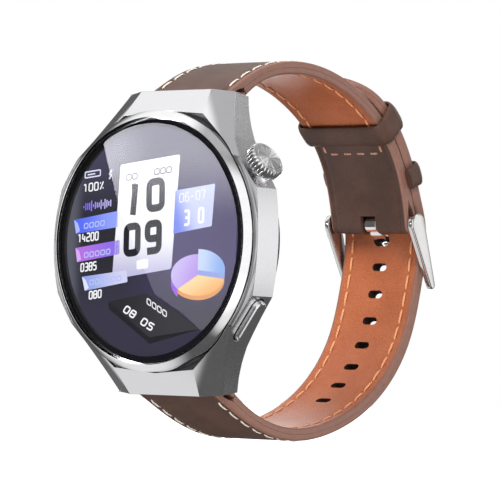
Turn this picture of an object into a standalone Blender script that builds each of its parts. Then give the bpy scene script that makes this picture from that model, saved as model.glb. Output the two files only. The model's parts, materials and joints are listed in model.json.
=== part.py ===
"""Round smartwatch on a two-piece leather strap, buckled into a closed loop.

Frame: origin at the centre of the dial glass, +Z to 12 o'clock, +X to 3 o'clock (the crown side),
the dial facing -Y and the wearer's wrist at +Y.
Shapes are written in millimetres and scaled to metres when their mesh is made.
"""

import bpy
import bmesh
import numpy as np
from math import asin, atan2, cos, hypot, pi, radians, sin, sqrt
from mathutils import Matrix, Vector

MM = 0.001

# ---- fits -------------------------------------------------------------------------------------
GAP = 0.3                    # room left between pieces that touch
SLIP = 0.12                  # running clearance of pins in their bores
MERGE = 0.0005               # corners closer than this after a cut are one corner

# ---- dial stack -------------------------------------------------------------------------------
GLASS_RADIUS = 20.75
GLASS_THICK = 1.0
BEZEL_INNER = 21.0
BEZEL_OUTER = 21.93
BEZEL_CHAMFER = 0.86         # depth of the polished chamfer
BEZEL_LEDGE = 19.5           # inner radius of the ledge that carries the glass
BEZEL_BACK = 3.0
DISPLAY_RADIUS = 19.1

# ---- middle case ------------------------------------------------------------------------------
CASE_HALF_WIDTH = 22.9
SIDE_BOW = 40.5              # radius of the bowed sides in the front view
SIDE_HALF_HEIGHT = 9.0       # the bowed side ends here and the straight flank begins
FLANK_END = (16.0, 17.2)
NECK_SAG = 0.2               # how hollow the neck between flank and lug is
LUG_HALF_WIDTH = 11.75
LUG_END_Z = 26.0
HOOD_END_Y = 5.9             # front edge of the case at the lug end
HOOD_END_HALF = 7.82
HOOD_CORNER = (8.84, 2.7, 21.5)
LUG_CORNER = (11.75, 7.7, 25.65)
END_LEAN = 0.192             # how far the end face leans back, per millimetre of depth
FRONT_Y = 0.8
RING_Y = 0.95                # brushed ring beside the bezel
RING_SLOPE = 0.55
REAR_Y = 7.0
REAR_SWEEP = 4.17            # how far the back has curved to the wrist at the lugs
RECESS_RADIUS = 22.25
RECESS_TANGENT = radians(50.7)
RECESS_FLOOR = 3.3
CAVITY_RADIUS = 19.6
SHELF_Y = 6.4                # shelf that the rear gasket lies on
REAR_BORE = 21.2
BOSS_ANGLES = tuple(radians(a) for a in (60, 120, 240, 300))
BOSS_HALF = radians(7)
BOSS_INNER = 16.2
SCREW_CIRCLE = 17.6

# ---- strap joints and lugs --------------------------------------------------------------------
PIVOT_Y = 9.8
PIVOT_Z = 24.3
LUG_GAP_HALF = 9.4           # half of the room between the lugs
BAR_RADIUS = 0.75
BAR_BORE = 0.62
BAR_HALF = 8.6
TIP_RADIUS = 0.38
TIP_BODY_RADIUS = 0.5
TIP_REACH = 10.5
TIP_HOLE_END = 10.7
POCKET_FRONT = 7.65
POCKET_RADIUS = 2.15

# ---- strap ------------------------------------------------------------------------------------
STRAP_HALF_LUG = 9.0
STRAP_HALF = 8.7
TAPER_LENGTH = 26.0
OUTER_THICK = 0.85
LINING_THICK = 0.85
HALF_THICK = 1.12            # half of the strap's thickness along its run
HALF_THICK_BAR = 1.72        # half of its thickness round a bar
SWELL_LENGTH = 14.0          # the thick end tapers down over this length
WRAP_INNER = HALF_THICK_BAR - OUTER_THICK
LIP_LENGTH = 4.0             # short return of the outer leather behind a spring bar
STATION = 2.4                # spacing of the strap's sections
UPPER_ROUTE = ((PIVOT_Y, PIVOT_Z), (17.4, 29.2), (28.2, 31.7), (38.8, 30.6), (47.9, 26.9),
               (54.8, 21.6), (59.5, 14.4), (62.3, 6.5))
LOWER_ROUTE = ((PIVOT_Y, -PIVOT_Z), (17.8, -28.8), (29.6, -31.9), (42.6, -30.0), (54.6, -23.6),
               (61.8, -14.6), (64.75, -5.0))
HALVES_GAP = 0.25            # room between the buckle half and the tail that lies on it
TAIL_OVERLAP = 30.5          # length of the tail beyond the buckle bar
TAIL_POINT = 9.0             # length of the tail's rounded point
FLAP_LENGTH = 18.0           # outer leather folded back inside from the buckle bar
HOLE_PITCH = 5.2
HOLE_LONG = 3.2
HOLE_WIDE = 1.5
HOLE_IN_USE_LONG = 3.6       # the hole that the tongue stretches
HOLE_IN_USE_WIDE = 2.4
HOLES_BEFORE = 7
HOLES_AFTER = 2

# ---- buckle and keepers -----------------------------------------------------------------------
CHEEK_INNER = 9.1
CHEEK_THICK = 1.1
CHEEK_HEAD = 1.5
CROSSBAR = (67.2, -4.2)
CROSSBAR_RADIUS = 0.75
TONGUE_HALF = 1.3
TONGUE_THICK = 0.9
TONGUE_SLOT_HALF = 1.7
TONGUE_BARREL = 1.4
TONGUE_PATH = ((62.8, 5.8), (63.3, 4.9), (64.3, 4.25), (65.4, 3.95), (66.8, 3.75), (67.8, 3.0),
               (68.3, 1.2), (68.5, -1.8), (68.6, -5.6))
KEEPER_THICK = 0.8
KEEPER_LENGTH = 4.8          # of the sliding keeper, along the strap
FIXED_KEEPER_LENGTH = 3.8
KEEPER_ROOM = 0.25
KEEPER_CORNER = 0.55         # inside corner radius
KEEPER_ROUND = 1.5           # outside corner radius
FREE_KEEPER_S = 47.3         # station of the sliding keeper along the upper strap
FIXED_KEEPER_S = 58.2

# ---- back, from the gasket out to the wrist ---------------------------------------------------
COVER_RADIUS = 20.9
COVER_WALL = 1.4
COVER_FRONT = 6.9
COVER_SHOULDER = 8.2
COVER_BACK = 11.4
COVER_THICK = 1.2
WINDOW_RADIUS = 10.0
WINDOW_FLAT = 8.4
WINDOW_FRONT = 10.7
WINDOW_BACK = 12.3
COIL_RADII = (6.2, 9.6)
COIL_DEPTHS = (9.75, 10.05)
SENSOR_BOARD_RADIUS = 12.5
SENSOR_BOARD_DEPTHS = (8.9, 9.5)
SCREW_RADIUS = 0.5
SCREW_HEAD_RADIUS = 1.0
SCREW_HOLE_RADIUS = 0.62
SCREW_SINK_RADIUS = 1.15
SCREW_DEPTHS = (5.0, 10.85, 11.3)     # tip, underside of the head, top of the head

# ---- inside, as radii, depths, centres and sizes ----------------------------------------------
PANEL_DEPTHS = (1.3, 2.2)
RING_DEPTHS = (2.5, 3.3)
ANTENNA_RADII = (18.3, 19.1)
FRAME_RADII = (5.0, 18.0)
BOARD_RADIUS = 15.2
BOARD_DEPTHS = (3.6, 4.3)
SHIELD = ((0, 5.1, 11.6), (10, 1.0, 6.0))
BATTERY = ((-1.5, 6.55, -1.5), (22, 3.9, 17))
MOTOR = ((-14.8, 6.1, 3.5), (3.4, 3.0, 8.0))
SPEAKER = ((0, 5.8, -13.4), (11, 2.4, 4.6))
MICROPHONE = ((-8.5, 5.0, 12.0), (3.0, 0.9, 2.2))

# ---- crown and side button --------------------------------------------------------------------
CONTROL_Y = 4.6
CROWN_AT = (19.56, 12.26)
CROWN_RADIUS = 3.35
CROWN_TEETH = 28
CROWN_NOTCH = 0.22           # depth of the knurling
CROWN_FOOT = 0.9
CROWN_TOP = 3.15
CROWN_BORE = 1.2
STEM_RADIUS = 0.5
STEM_INNER_END = -5.6
BUTTON_AT = (19.07, -12.94)
BUTTON_LENGTH = 8.2
BUTTON_WIDTH = 2.4
BUTTON_TOP = 0.95
BUTTON_FOOT = -0.5
BUTTON_POCKET = -1.2
BUTTON_BORE = 1.05
BUTTON_STEM_END = -4.3

# ---- round shapes: sides of a turned piece, and steps of a curved edge ------------------------
SEGMENTS = 64
FINE = 96
SMALL = 16
CURVE_STEPS = 8


# ---- materials --------------------------------------------------------------------------------
def material(name, colour, roughness, metallic):
    """A plain Principled material."""
    found = bpy.data.materials.get(name)
    if found:
        return found
    made = bpy.data.materials.new(name)
    made.use_nodes = True
    shader = made.node_tree.nodes["Principled BSDF"]
    shader.inputs["Base Color"].default_value = (*colour, 1.0)
    shader.inputs["Roughness"].default_value = roughness
    shader.inputs["Metallic"].default_value = metallic
    return made


def steel():
    return material("brushed_steel", (0.62, 0.62, 0.63), 0.32, 1.0)


def polished():
    return material("polished_steel", (0.75, 0.75, 0.76), 0.12, 1.0)


def black_glass():
    return material("black_glass", (0.012, 0.011, 0.02), 0.05, 0.0)


def display_black():
    return material("display_black", (0.05, 0.045, 0.08), 0.2, 0.0)


def black_plastic():
    return material("black_plastic", (0.015, 0.015, 0.016), 0.4, 0.0)


def rubber():
    return material("black_rubber", (0.02, 0.02, 0.02), 0.8, 0.0)


def brown_leather():
    return material("brown_leather", (0.075, 0.04, 0.03), 0.55, 0.0)


def tan_leather():
    return material("tan_leather", (0.33, 0.11, 0.045), 0.6, 0.0)


def board_green():
    return material("circuit_board", (0.01, 0.06, 0.03), 0.5, 0.0)


def battery_silver():
    return material("battery_foil", (0.5, 0.5, 0.5), 0.45, 0.6)


def copper():
    return material("copper_wire", (0.6, 0.25, 0.12), 0.35, 1.0)


# ---- mesh helpers -----------------------------------------------------------------------------
def finish_mesh(name, bm, look, smooth_angle=None):
    """Turn a bmesh in millimetres into a named object in metres with its faces pointing out."""
    bmesh.ops.recalc_face_normals(bm, faces=bm.faces)
    bmesh.ops.scale(bm, vec=(MM, MM, MM), verts=bm.verts)
    mesh = bpy.data.meshes.new(name)
    bm.to_mesh(mesh)
    bm.free()
    thing = bpy.data.objects.new(name, mesh)
    bpy.context.scene.collection.objects.link(thing)
    mesh.materials.append(look)
    if smooth_angle:
        mesh.shade_smooth()
        mesh.set_sharp_from_angle(angle=radians(smooth_angle))
    return thing


def loft(name, rings, look, closed=False, smooth_angle=None):
    """Join rings of equal length into one solid; closed joins the last ring to the first."""
    bm = bmesh.new()
    loops = [[bm.verts.new(point) for point in ring] for ring in rings]
    count = len(rings[0])
    spans = len(rings) if closed else len(rings) - 1
    for i in range(spans):
        here = loops[i]
        there = loops[(i + 1) % len(rings)]
        for k in range(count):
            nxt = (k + 1) % count
            bm.faces.new((here[k], here[nxt], there[nxt], there[k]))
    if not closed:
        bm.faces.new(loops[0])
        bm.faces.new(list(reversed(loops[-1])))
    return finish_mesh(name, bm, look, smooth_angle)


def lathe(name, profile, look, segments=SEGMENTS, smooth_angle=40):
    """Turn a (radius, depth) profile about the Y axis; a profile off the axis makes a ring."""
    bm = bmesh.new()
    solid = profile[0][0] == 0
    loops = []
    for radius, depth in profile:
        if radius == 0:
            loops.append([bm.verts.new((0, depth, 0))])
            continue
        turn = [2 * pi * k / segments for k in range(segments)]
        loops.append([bm.verts.new((radius * cos(a), depth, radius * sin(a))) for a in turn])
    spans = len(loops) - 1 if solid else len(loops)
    for i in range(spans):
        here = loops[i]
        there = loops[(i + 1) % len(loops)]
        for k in range(segments):
            nxt = (k + 1) % segments
            if len(here) == 1:
                bm.faces.new((here[0], there[k], there[nxt]))
            elif len(there) == 1:
                bm.faces.new((here[k], here[nxt], there[0]))
            else:
                bm.faces.new((here[k], here[nxt], there[nxt], there[k]))
    return finish_mesh(name, bm, look, smooth_angle)


def disc(name, radius, depths, look):
    """A flat round plate about the Y axis."""
    near, far = depths
    return lathe(name, [(0, near), (radius, near), (radius, far), (0, far)], look)


def washer(name, radii, depths, look, segments=SEGMENTS):
    """A flat ring about the Y axis."""
    inner, outer = radii
    near, far = depths
    return lathe(name, [(inner, near), (outer, near), (outer, far), (inner, far)], look, segments)


def rod(name, radius, ends, look):
    """A thin round bar along the Y axis."""
    near, far = ends
    return lathe(name, [(0, near), (radius, near), (radius, far), (0, far)], look, SMALL)


def prism(name, outline, near, far, look, axis="Y"):
    """Extrude an outline: (x, z) points along Y, or (y, z) points along X."""
    if axis == "Y":
        rings = [[(x, depth, z) for x, z in outline] for depth in (near, far)]
    else:
        rings = [[(side, y, z) for y, z in outline] for side in (near, far)]
    return loft(name, rings, look)


def box(name, centre, size, look):
    """A block from its centre and its full size."""
    x, y, z = centre
    dx, dy, dz = (value / 2 for value in size)
    outline = [(x - dx, z - dz), (x + dx, z - dz), (x + dx, z + dz), (x - dx, z + dz)]
    return prism(name, outline, y - dy, y + dy, look)


def carve(thing, tool, operation="DIFFERENCE"):
    """Apply one exact Boolean to an object and remove the tool."""
    modifier = thing.modifiers.new("cut", "BOOLEAN")
    modifier.solver = "EXACT"
    modifier.operation = operation
    modifier.object = tool
    bpy.context.view_layer.update()
    graph = bpy.context.evaluated_depsgraph_get()
    mesh = bpy.data.meshes.new_from_object(thing.evaluated_get(graph))
    thing.modifiers.clear()
    thing.data = mesh
    mesh.name = thing.name
    bpy.data.objects.remove(tool)
    bm = bmesh.new()
    bm.from_mesh(mesh)
    bmesh.ops.remove_doubles(bm, verts=bm.verts, dist=MERGE * MM)
    bmesh.ops.dissolve_degenerate(bm, edges=bm.edges, dist=MERGE * MM)
    bm.to_mesh(mesh)
    bm.free()


def plane_cut(thing, point, normal):
    """Cut away what lies beyond a plane, in millimetres, and close the cut."""
    bm = bmesh.new()
    bm.from_mesh(thing.data)
    everything = bm.verts[:] + bm.edges[:] + bm.faces[:]
    cut = bmesh.ops.bisect_plane(bm, geom=everything, plane_co=Vector(point) * MM,
                                 plane_no=normal, clear_outer=True)
    edges = [item for item in cut["geom_cut"] if isinstance(item, bmesh.types.BMEdge)]
    bmesh.ops.holes_fill(bm, edges=edges)
    bmesh.ops.recalc_face_normals(bm, faces=bm.faces)
    bm.to_mesh(thing.data)
    bm.free()


def aim(thing, at, direction):
    """Stand a piece modelled along +Y at a point, in millimetres, pointing in a direction."""
    turn = Vector((0, 1, 0)).rotation_difference(Vector(direction))
    thing.rotation_mode = "QUATERNION"
    thing.rotation_quaternion = turn
    thing.location = Vector(at) * MM


def hang(thing, at):
    """Move a piece's origin to a joint, in millimetres, without moving the piece."""
    joint = Vector(at) * MM
    thing.data.transform(Matrix.Translation(-joint))
    thing.location = joint


def arc(centre, radius, start, end, count):
    """Points along an arc of a circle, both ends included."""
    turn = [start + (end - start) * k / count for k in range(count + 1)]
    return [(centre[0] + radius * cos(a), centre[1] + radius * sin(a)) for a in turn]


# ---- strap routes -----------------------------------------------------------------------------
def smooth_route(knots, step=0.2):
    """Natural cubic curve through the knots, returned as (length, y, z, heading) arrays."""
    points = np.array(knots, float)
    chord = np.concatenate(([0], np.cumsum(np.hypot(*np.diff(points, axis=0).T))))
    count = len(points)
    system = np.zeros((count, count))
    right = np.zeros((count, 2))
    system[0, 0] = system[-1, -1] = 1
    for i in range(1, count - 1):
        before = chord[i] - chord[i - 1]
        after = chord[i + 1] - chord[i]
        system[i, i - 1:i + 2] = before, 2 * (before + after), after
        right[i] = 6 * ((points[i + 1] - points[i]) / after - (points[i] - points[i - 1]) / before)
    bend = np.linalg.solve(system, right)
    at = np.linspace(0, chord[-1], int(chord[-1] / step) + 1)
    cell = np.clip(np.searchsorted(chord, at, side="right") - 1, 0, count - 2)
    width = (chord[cell + 1] - chord[cell])[:, None]
    a = (chord[cell + 1] - at)[:, None]
    b = (at - chord[cell])[:, None]
    line = (bend[cell] * a ** 3 + bend[cell + 1] * b ** 3) / (6 * width)
    line += (points[cell] / width - bend[cell] * width / 6) * a
    line += (points[cell + 1] / width - bend[cell + 1] * width / 6) * b
    length = np.concatenate(([0], np.cumsum(np.hypot(*np.diff(line, axis=0).T))))
    slope = np.gradient(line, length, axis=0)
    return length, line[:, 0], line[:, 1], np.unwrap(np.arctan2(slope[:, 1], slope[:, 0]))


def along(route, s, offset=0.0):
    """The point at length s along a route, moved sideways to the route's left."""
    length, ys, zs, turns = route
    y = np.interp(s, length, ys)
    z = np.interp(s, length, zs)
    turn = np.interp(s, length, turns)
    return float(y - offset * sin(turn)), float(z + offset * cos(turn))


def heading(route, s):
    return float(np.interp(s, route[0], route[3]))


def stations(start, end):
    """Evenly spaced lengths from start to end, about one STATION apart."""
    count = max(2, round(abs(end - start) / STATION))
    return [start + (end - start) * k / count for k in range(count + 1)]


def half_thickness(s):
    """Half of the strap's thickness at length s from the lug."""
    swell = min(1.0, max(0.0, s) / SWELL_LENGTH)
    return HALF_THICK + (HALF_THICK_BAR - HALF_THICK) * (1 - swell) ** 2


def upper_thickness(s):
    """The upper strap is thick at both ends, where it wraps a bar."""
    return max(half_thickness(s), half_thickness(UPPER_END - s))


def half_width(s):
    """Half of the strap's width at length s from the lug."""
    blend = min(1.0, s / TAPER_LENGTH)
    return STRAP_HALF_LUG + (STRAP_HALF - STRAP_HALF_LUG) * blend * (2 - blend)


UPPER = smooth_route(UPPER_ROUTE)
UPPER_END = float(UPPER[0][-1])


def tail_knots():
    """The tail lies on the outside of the upper strap, from the buckle bar to its tip."""
    room = HALVES_GAP + HALF_THICK
    spans = [TAIL_OVERLAP * k / 8 for k in range(9)]
    return [along(UPPER, UPPER_END - s, upper_thickness(UPPER_END - s) + room) for s in spans]


LOWER = smooth_route(LOWER_ROUTE + tuple(tail_knots()))
LOWER_END = float(LOWER[0][-1])


def lower_station(y, z):
    """Length along the lower strap of the point nearest to (y, z)."""
    return float(LOWER[0][np.argmin(np.hypot(LOWER[1] - y, LOWER[2] - z))])


HOLE_S = lower_station(65.4, 3.9)
BUCKLE_BAR = along(UPPER, UPPER_END)


# ---- strap pieces -----------------------------------------------------------------------------
def ribbon(name, path, widths, thick, look):
    """A flat strip of leather that follows (y, z) points with its own half width at each."""
    path = np.array(path)
    slope = np.gradient(path, axis=0)
    slope /= np.hypot(*slope.T)[:, None]
    rings = []
    for (y, z), (dy, dz), half in zip(path, slope, widths):
        ny, nz = -dz * thick / 2, dy * thick / 2
        rings.append([(-half, y - ny, z - nz), (half, y - ny, z - nz),
                      (half, y + ny, z + nz), (-half, y + ny, z + nz)])
    return loft(name, rings, look, smooth_angle=35)


def wrap(centre, turn, side):
    """Half a turn of leather round a bar whose strap leaves it with the given heading."""
    radius = WRAP_INNER + OUTER_THICK / 2
    return arc(centre, radius, turn - side * pi / 2, turn - side * 3 * pi / 2, 9)[1:-1]


def hole_cutter(route, s, size, wide):
    """An oval punch through the whole strap at length s."""
    end = (size - wide) / 2
    oval = arc((end, 0), wide / 2, -pi / 2, pi / 2, 6) + arc((-end, 0), wide / 2, pi / 2, 3 * pi / 2, 6)
    turn = heading(route, s)
    y, z = along(route, s)
    rings = []
    for offset in (-4, 4):
        rings.append([(u, y + v * cos(turn) - offset * sin(turn),
                       z + v * sin(turn) + offset * cos(turn)) for u, v in oval])
    return loft("punch", rings, rubber())


def upper_outer():
    """Outer leather of the buckle half: wraps the spring bar, runs outside, folds round the buckle."""
    side = HALF_THICK_BAR - OUTER_THICK / 2
    lip = [along(UPPER, s, -side) for s in stations(LIP_LENGTH, 0.0)]
    start = wrap(along(UPPER, 0), heading(UPPER, 0), 1)
    run_s = stations(0.0, UPPER_END)
    run = [along(UPPER, s, upper_thickness(s) - OUTER_THICK / 2) for s in run_s]
    turn = heading(UPPER, UPPER_END) + pi
    end = wrap(BUCKLE_BAR, turn, 1)
    flap_s = stations(UPPER_END, UPPER_END - FLAP_LENGTH)
    flap = [along(UPPER, s, OUTER_THICK / 2 - upper_thickness(s)) for s in flap_s]
    widths = [half_width(0)] * (len(lip) + len(start)) + [half_width(s) for s in run_s]
    widths += [STRAP_HALF] * (len(end) + len(flap))
    piece = ribbon("strap_upper_outer", lip + start + run + end + flap, widths, OUTER_THICK,
                   brown_leather())
    y, z = BUCKLE_BAR
    slot = [(y - 3.0, z + 1.4), (y + 1.5, z + 1.4), (y + 3.0, z - 3.0), (y - 3.0, z - 3.0)]
    carve(piece, prism("slot", slot, -TONGUE_SLOT_HALF, TONGUE_SLOT_HALF, rubber(), "X"))
    hang(piece, (0, PIVOT_Y, PIVOT_Z))
    return piece


def upper_lining():
    """Tan lining of the buckle half, between the spring bar's lip and the folded flap."""
    run = stations(LIP_LENGTH + 0.5, UPPER_END - FLAP_LENGTH - 0.5)
    path = [along(UPPER, s, LINING_THICK / 2 - upper_thickness(s)) for s in run]
    piece = ribbon("strap_upper_lining", path, [half_width(s) for s in run], LINING_THICK,
                   tan_leather())
    hang(piece, (0, PIVOT_Y, PIVOT_Z))
    return piece


def tail_width(s):
    """The long half narrows to a rounded point at its tip."""
    left = LOWER_END - s
    if left >= TAIL_POINT:
        return half_width(s)
    rise = 1 - left / TAIL_POINT
    return max(2.0, STRAP_HALF * sqrt(1 - rise ** 2.2))


def punch_holes(piece):
    """Punch the row of holes, with the one in use stretched by the tongue."""
    for k in range(-HOLES_BEFORE, HOLES_AFTER + 1):
        size = (HOLE_LONG, HOLE_WIDE) if k else (HOLE_IN_USE_LONG, HOLE_IN_USE_WIDE)
        carve(piece, hole_cutter(LOWER, HOLE_S + k * HOLE_PITCH, *size))


def tail_stations(start):
    """Sections of the long half, closer together along its point."""
    point = [LOWER_END - TAIL_POINT * (1 - sin(pi / 2 * k / 6)) for k in range(1, 7)]
    return stations(start, LOWER_END - TAIL_POINT) + point


def lower_outer():
    """Outer leather of the long half: wraps its spring bar and runs outside to the tip."""
    side = HALF_THICK_BAR - OUTER_THICK / 2
    lip = [along(LOWER, s, side) for s in stations(LIP_LENGTH, 0.0)]
    start = wrap(along(LOWER, 0), heading(LOWER, 0), -1)
    run_s = tail_stations(0.0)
    run = [along(LOWER, s, OUTER_THICK / 2 - half_thickness(s)) for s in run_s]
    widths = [half_width(0)] * (len(lip) + len(start)) + [tail_width(s) for s in run_s]
    piece = ribbon("strap_lower_outer", lip + start + run, widths, OUTER_THICK, brown_leather())
    punch_holes(piece)
    hang(piece, (0, PIVOT_Y, -PIVOT_Z))
    return piece


def lower_lining():
    """Tan lining of the long half."""
    run = tail_stations(LIP_LENGTH + 0.5)
    path = [along(LOWER, s, half_thickness(s) - LINING_THICK / 2) for s in run]
    piece = ribbon("strap_lower_lining", path, [tail_width(s) for s in run], LINING_THICK,
                   tan_leather())
    punch_holes(piece)
    hang(piece, (0, PIVOT_Y, -PIVOT_Z))
    return piece


def spring_bar(name, z):
    """Steel tube through the strap's end, with a sprung tip at each end."""
    tube = washer(name, (BAR_BORE, BAR_RADIUS), (-BAR_HALF, BAR_HALF), steel(), SMALL)
    aim(tube, (0, PIVOT_Y, z), (1, 0, 0))
    inner = BAR_HALF - 2.4
    neck = BAR_HALF + 0.35
    profile = [(0, inner), (TIP_BODY_RADIUS, inner), (TIP_BODY_RADIUS, neck), (TIP_RADIUS, neck),
               (TIP_RADIUS, TIP_REACH), (0, TIP_REACH)]
    for side, word in ((-1, "left"), (1, "right")):
        tip = lathe(f"{name}_tip_{word}", profile, polished(), SMALL)
        aim(tip, (0, PIVOT_Y, z), (side, 0, 0))


def loop_section(half, low, high, corner, count=3):
    """A rounded rectangle in (x, offset), from low to high across the strap."""
    points = []
    for sx, sy, start in ((1, 1, 0), (-1, 1, 90), (-1, -1, 180), (1, -1, 270)):
        centre = (sx * (half - corner), (high if sy > 0 else low) - sy * corner)
        points += arc(centre, corner, radians(start), radians(start + 90), count)
    return points


def keeper_loop(name, s, low, high):
    """A leather loop round the strap at station s, following its curve."""
    inner = loop_section(STRAP_HALF + KEEPER_ROOM, low, high, KEEPER_CORNER)
    outer = loop_section(STRAP_HALF + KEEPER_ROOM + KEEPER_THICK, low - KEEPER_THICK,
                         high + KEEPER_THICK, KEEPER_ROUND)
    spread = (-KEEPER_LENGTH / 2, 0, KEEPER_LENGTH / 2)
    rings = []
    for (ix, io), (ox, oo) in zip(inner, outer):
        ring = [(ox, *along(UPPER, s + d, oo)) for d in spread]
        ring += [(ix, *along(UPPER, s + d, io)) for d in reversed(spread)]
        rings.append(ring)
    return loft(name, rings, brown_leather(), closed=True, smooth_angle=40)


def free_keeper():
    """Sliding loop round both halves of the strap."""
    half = upper_thickness(FREE_KEEPER_S)
    top = half + HALVES_GAP + 2 * HALF_THICK
    piece = keeper_loop("keeper_free", FREE_KEEPER_S, -half - KEEPER_ROOM, top + KEEPER_ROOM)
    hang(piece, (0, *KEEPER_CENTRE))
    return piece


def fixed_keeper():
    """Arch sewn to the edges of the buckle half, over the tail."""
    s = FIXED_KEEPER_S
    half = upper_thickness(s)
    top = half + HALVES_GAP + 2 * HALF_THICK + KEEPER_ROOM
    foot = half - OUTER_THICK
    side = STRAP_HALF + KEEPER_ROOM
    within = (side - KEEPER_CORNER, top - KEEPER_CORNER)
    around = (side + KEEPER_THICK - KEEPER_ROUND, top + KEEPER_THICK - KEEPER_ROUND)
    inner = [(side, foot)] + arc(within, KEEPER_CORNER, 0, pi / 2, 3)
    outer = [(side + KEEPER_THICK, foot)] + arc(around, KEEPER_ROUND, 0, pi / 2, 3)
    mirror = [[(-x, o) for x, o in reversed(line)] for line in (inner, outer)]
    spread = (-FIXED_KEEPER_LENGTH / 2, 0, FIXED_KEEPER_LENGTH / 2)
    rings = []
    for (ix, io), (ox, oo) in zip(inner + mirror[0], outer + mirror[1]):
        ring = [(ox, *along(UPPER, s + d, oo + upper_thickness(s + d) - half)) for d in spread]
        ring += [(ix, *along(UPPER, s + d, io + upper_thickness(s + d) - half)) for d in reversed(spread)]
        rings.append(ring)
    piece = loft("keeper_fixed", rings, brown_leather(), smooth_angle=40)
    hang(piece, (0, PIVOT_Y, PIVOT_Z))
    return piece


def keeper_centre():
    """Centre of curvature of the upper strap where the free keeper sits."""
    step = 3.0
    a = np.array(along(UPPER, FREE_KEEPER_S - step))
    b = np.array(along(UPPER, FREE_KEEPER_S + step))
    bend = (heading(UPPER, FREE_KEEPER_S + step) - heading(UPPER, FREE_KEEPER_S - step)) / (2 * step)
    return along(UPPER, FREE_KEEPER_S, 1 / bend)


KEEPER_CENTRE = keeper_centre()


# ---- buckle -----------------------------------------------------------------------------------
def cheek_outline():
    """Teardrop side plate: a round head at the bar, tapering to the crossbar."""
    by, bz = BUCKLE_BAR
    cy, cz = CROSSBAR
    lean = atan2(cz - bz, cy - by)
    reach = hypot(cy - by, cz - bz)
    spread = asin((CHEEK_HEAD - CROSSBAR_RADIUS) / reach)
    head = arc(BUCKLE_BAR, CHEEK_HEAD, lean + pi / 2 - spread, lean + 3 * pi / 2 + spread, 10)
    tip = arc(CROSSBAR, CROSSBAR_RADIUS, lean - pi / 2 + spread, lean + pi / 2 - spread, 6)
    return head + tip


def buckle_frame():
    """Two side plates joined by the crossbar, with bores for the buckle bar."""
    outline = cheek_outline()
    outer = CHEEK_INNER + CHEEK_THICK
    frame = prism("buckle_frame", outline, -outer, outer, polished(), "X")
    cy, cz = CROSSBAR
    by, bz = BUCKLE_BAR
    lean = atan2(cz - bz, cy - by)
    back = hypot(cy - by, cz - bz) - CROSSBAR_RADIUS
    corners = [(-4, -5), (back, -5), (back, 5), (-4, 5)]
    gap = [(by + u * cos(lean) - v * sin(lean), bz + u * sin(lean) + v * cos(lean)) for u, v in corners]
    carve(frame, prism("gap", gap, -CHEEK_INNER, CHEEK_INNER, steel(), "X"))
    bore = rod("bore", BAR_RADIUS + SLIP, (-outer - 1, outer + 1), steel())
    aim(bore, (0, by, bz), (1, 0, 0))
    carve(frame, bore)
    hang(frame, (0, *BUCKLE_BAR))
    return frame


def buckle_bar():
    """Pin through the folded strap, the tongue and both side plates."""
    end = CHEEK_INNER + CHEEK_THICK - 0.25
    bar = rod("buckle_bar", BAR_RADIUS, (-end, end), steel())
    aim(bar, (0, *BUCKLE_BAR), (1, 0, 0))
    return bar


def buckle_tongue():
    """Flat curved prong on a barrel that turns on the buckle bar."""
    path = np.array(TONGUE_PATH)
    slope = np.gradient(path, axis=0)
    slope /= np.hypot(*slope.T)[:, None]
    rings = []
    for k, ((y, z), (dy, dz)) in enumerate(zip(path, slope)):
        half = TONGUE_HALF * (1 - 0.3 * (k / (len(path) - 1)) ** 3)
        ny, nz = -dz * TONGUE_THICK / 2, dy * TONGUE_THICK / 2
        rings.append([(-half, y - ny, z - nz), (half, y - ny, z - nz),
                      (half, y + ny, z + nz), (-half, y + ny, z + nz)])
    prong = loft("buckle_tongue", rings, polished())
    barrel = rod("barrel", TONGUE_BARREL, (-TONGUE_HALF, TONGUE_HALF), polished())
    aim(barrel, (0, *BUCKLE_BAR), (1, 0, 0))
    carve(prong, barrel, "UNION")
    bore = rod("bore", BAR_RADIUS + SLIP, (-TONGUE_HALF - 1, TONGUE_HALF + 1), steel())
    aim(bore, (0, *BUCKLE_BAR), (1, 0, 0))
    carve(prong, bore)
    hang(prong, (0, *BUCKLE_BAR))
    return prong


# ---- middle case ------------------------------------------------------------------------------
def four_ways(quarter):
    """Mirror a quarter outline, from the X axis to the Z axis, into a whole one."""
    left = [(-x, z) for x, z in reversed(quarter)]
    lower_left = [(-x, -z) for x, z in quarter]
    right = [(x, -z) for x, z in reversed(quarter)]
    points = []
    for point in quarter + left + lower_left + right:
        if not points or hypot(point[0] - points[-1][0], point[1] - points[-1][1]) > 1e-6:
            points.append(point)
    if hypot(points[0][0] - points[-1][0], points[0][1] - points[-1][1]) < 1e-6:
        points.pop()
    return points


def case_outline():
    """Front view: bowed sides, straight flanks and necks that flare into the lugs."""
    bow = asin(SIDE_HALF_HEIGHT / SIDE_BOW)
    quarter = arc((CASE_HALF_WIDTH - SIDE_BOW, 0), SIDE_BOW, 0, bow, CURVE_STEPS)
    quarter.append(FLANK_END)
    tip = (LUG_HALF_WIDTH, LUG_CORNER[2])
    chord = hypot(tip[0] - FLANK_END[0], tip[1] - FLANK_END[1])
    for k in range(1, CURVE_STEPS):
        share = k / CURVE_STEPS
        pull = 4 * NECK_SAG * share * (1 - share) / chord
        x = FLANK_END[0] + (tip[0] - FLANK_END[0]) * share - (tip[1] - FLANK_END[1]) * pull
        z = FLANK_END[1] + (tip[1] - FLANK_END[1]) * share + (tip[0] - FLANK_END[0]) * pull
        quarter.append((x, z))
    quarter += [tip, (LUG_HALF_WIDTH, LUG_END_Z + 1), (0, LUG_END_Z + 1)]
    return four_ways(quarter)


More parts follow.
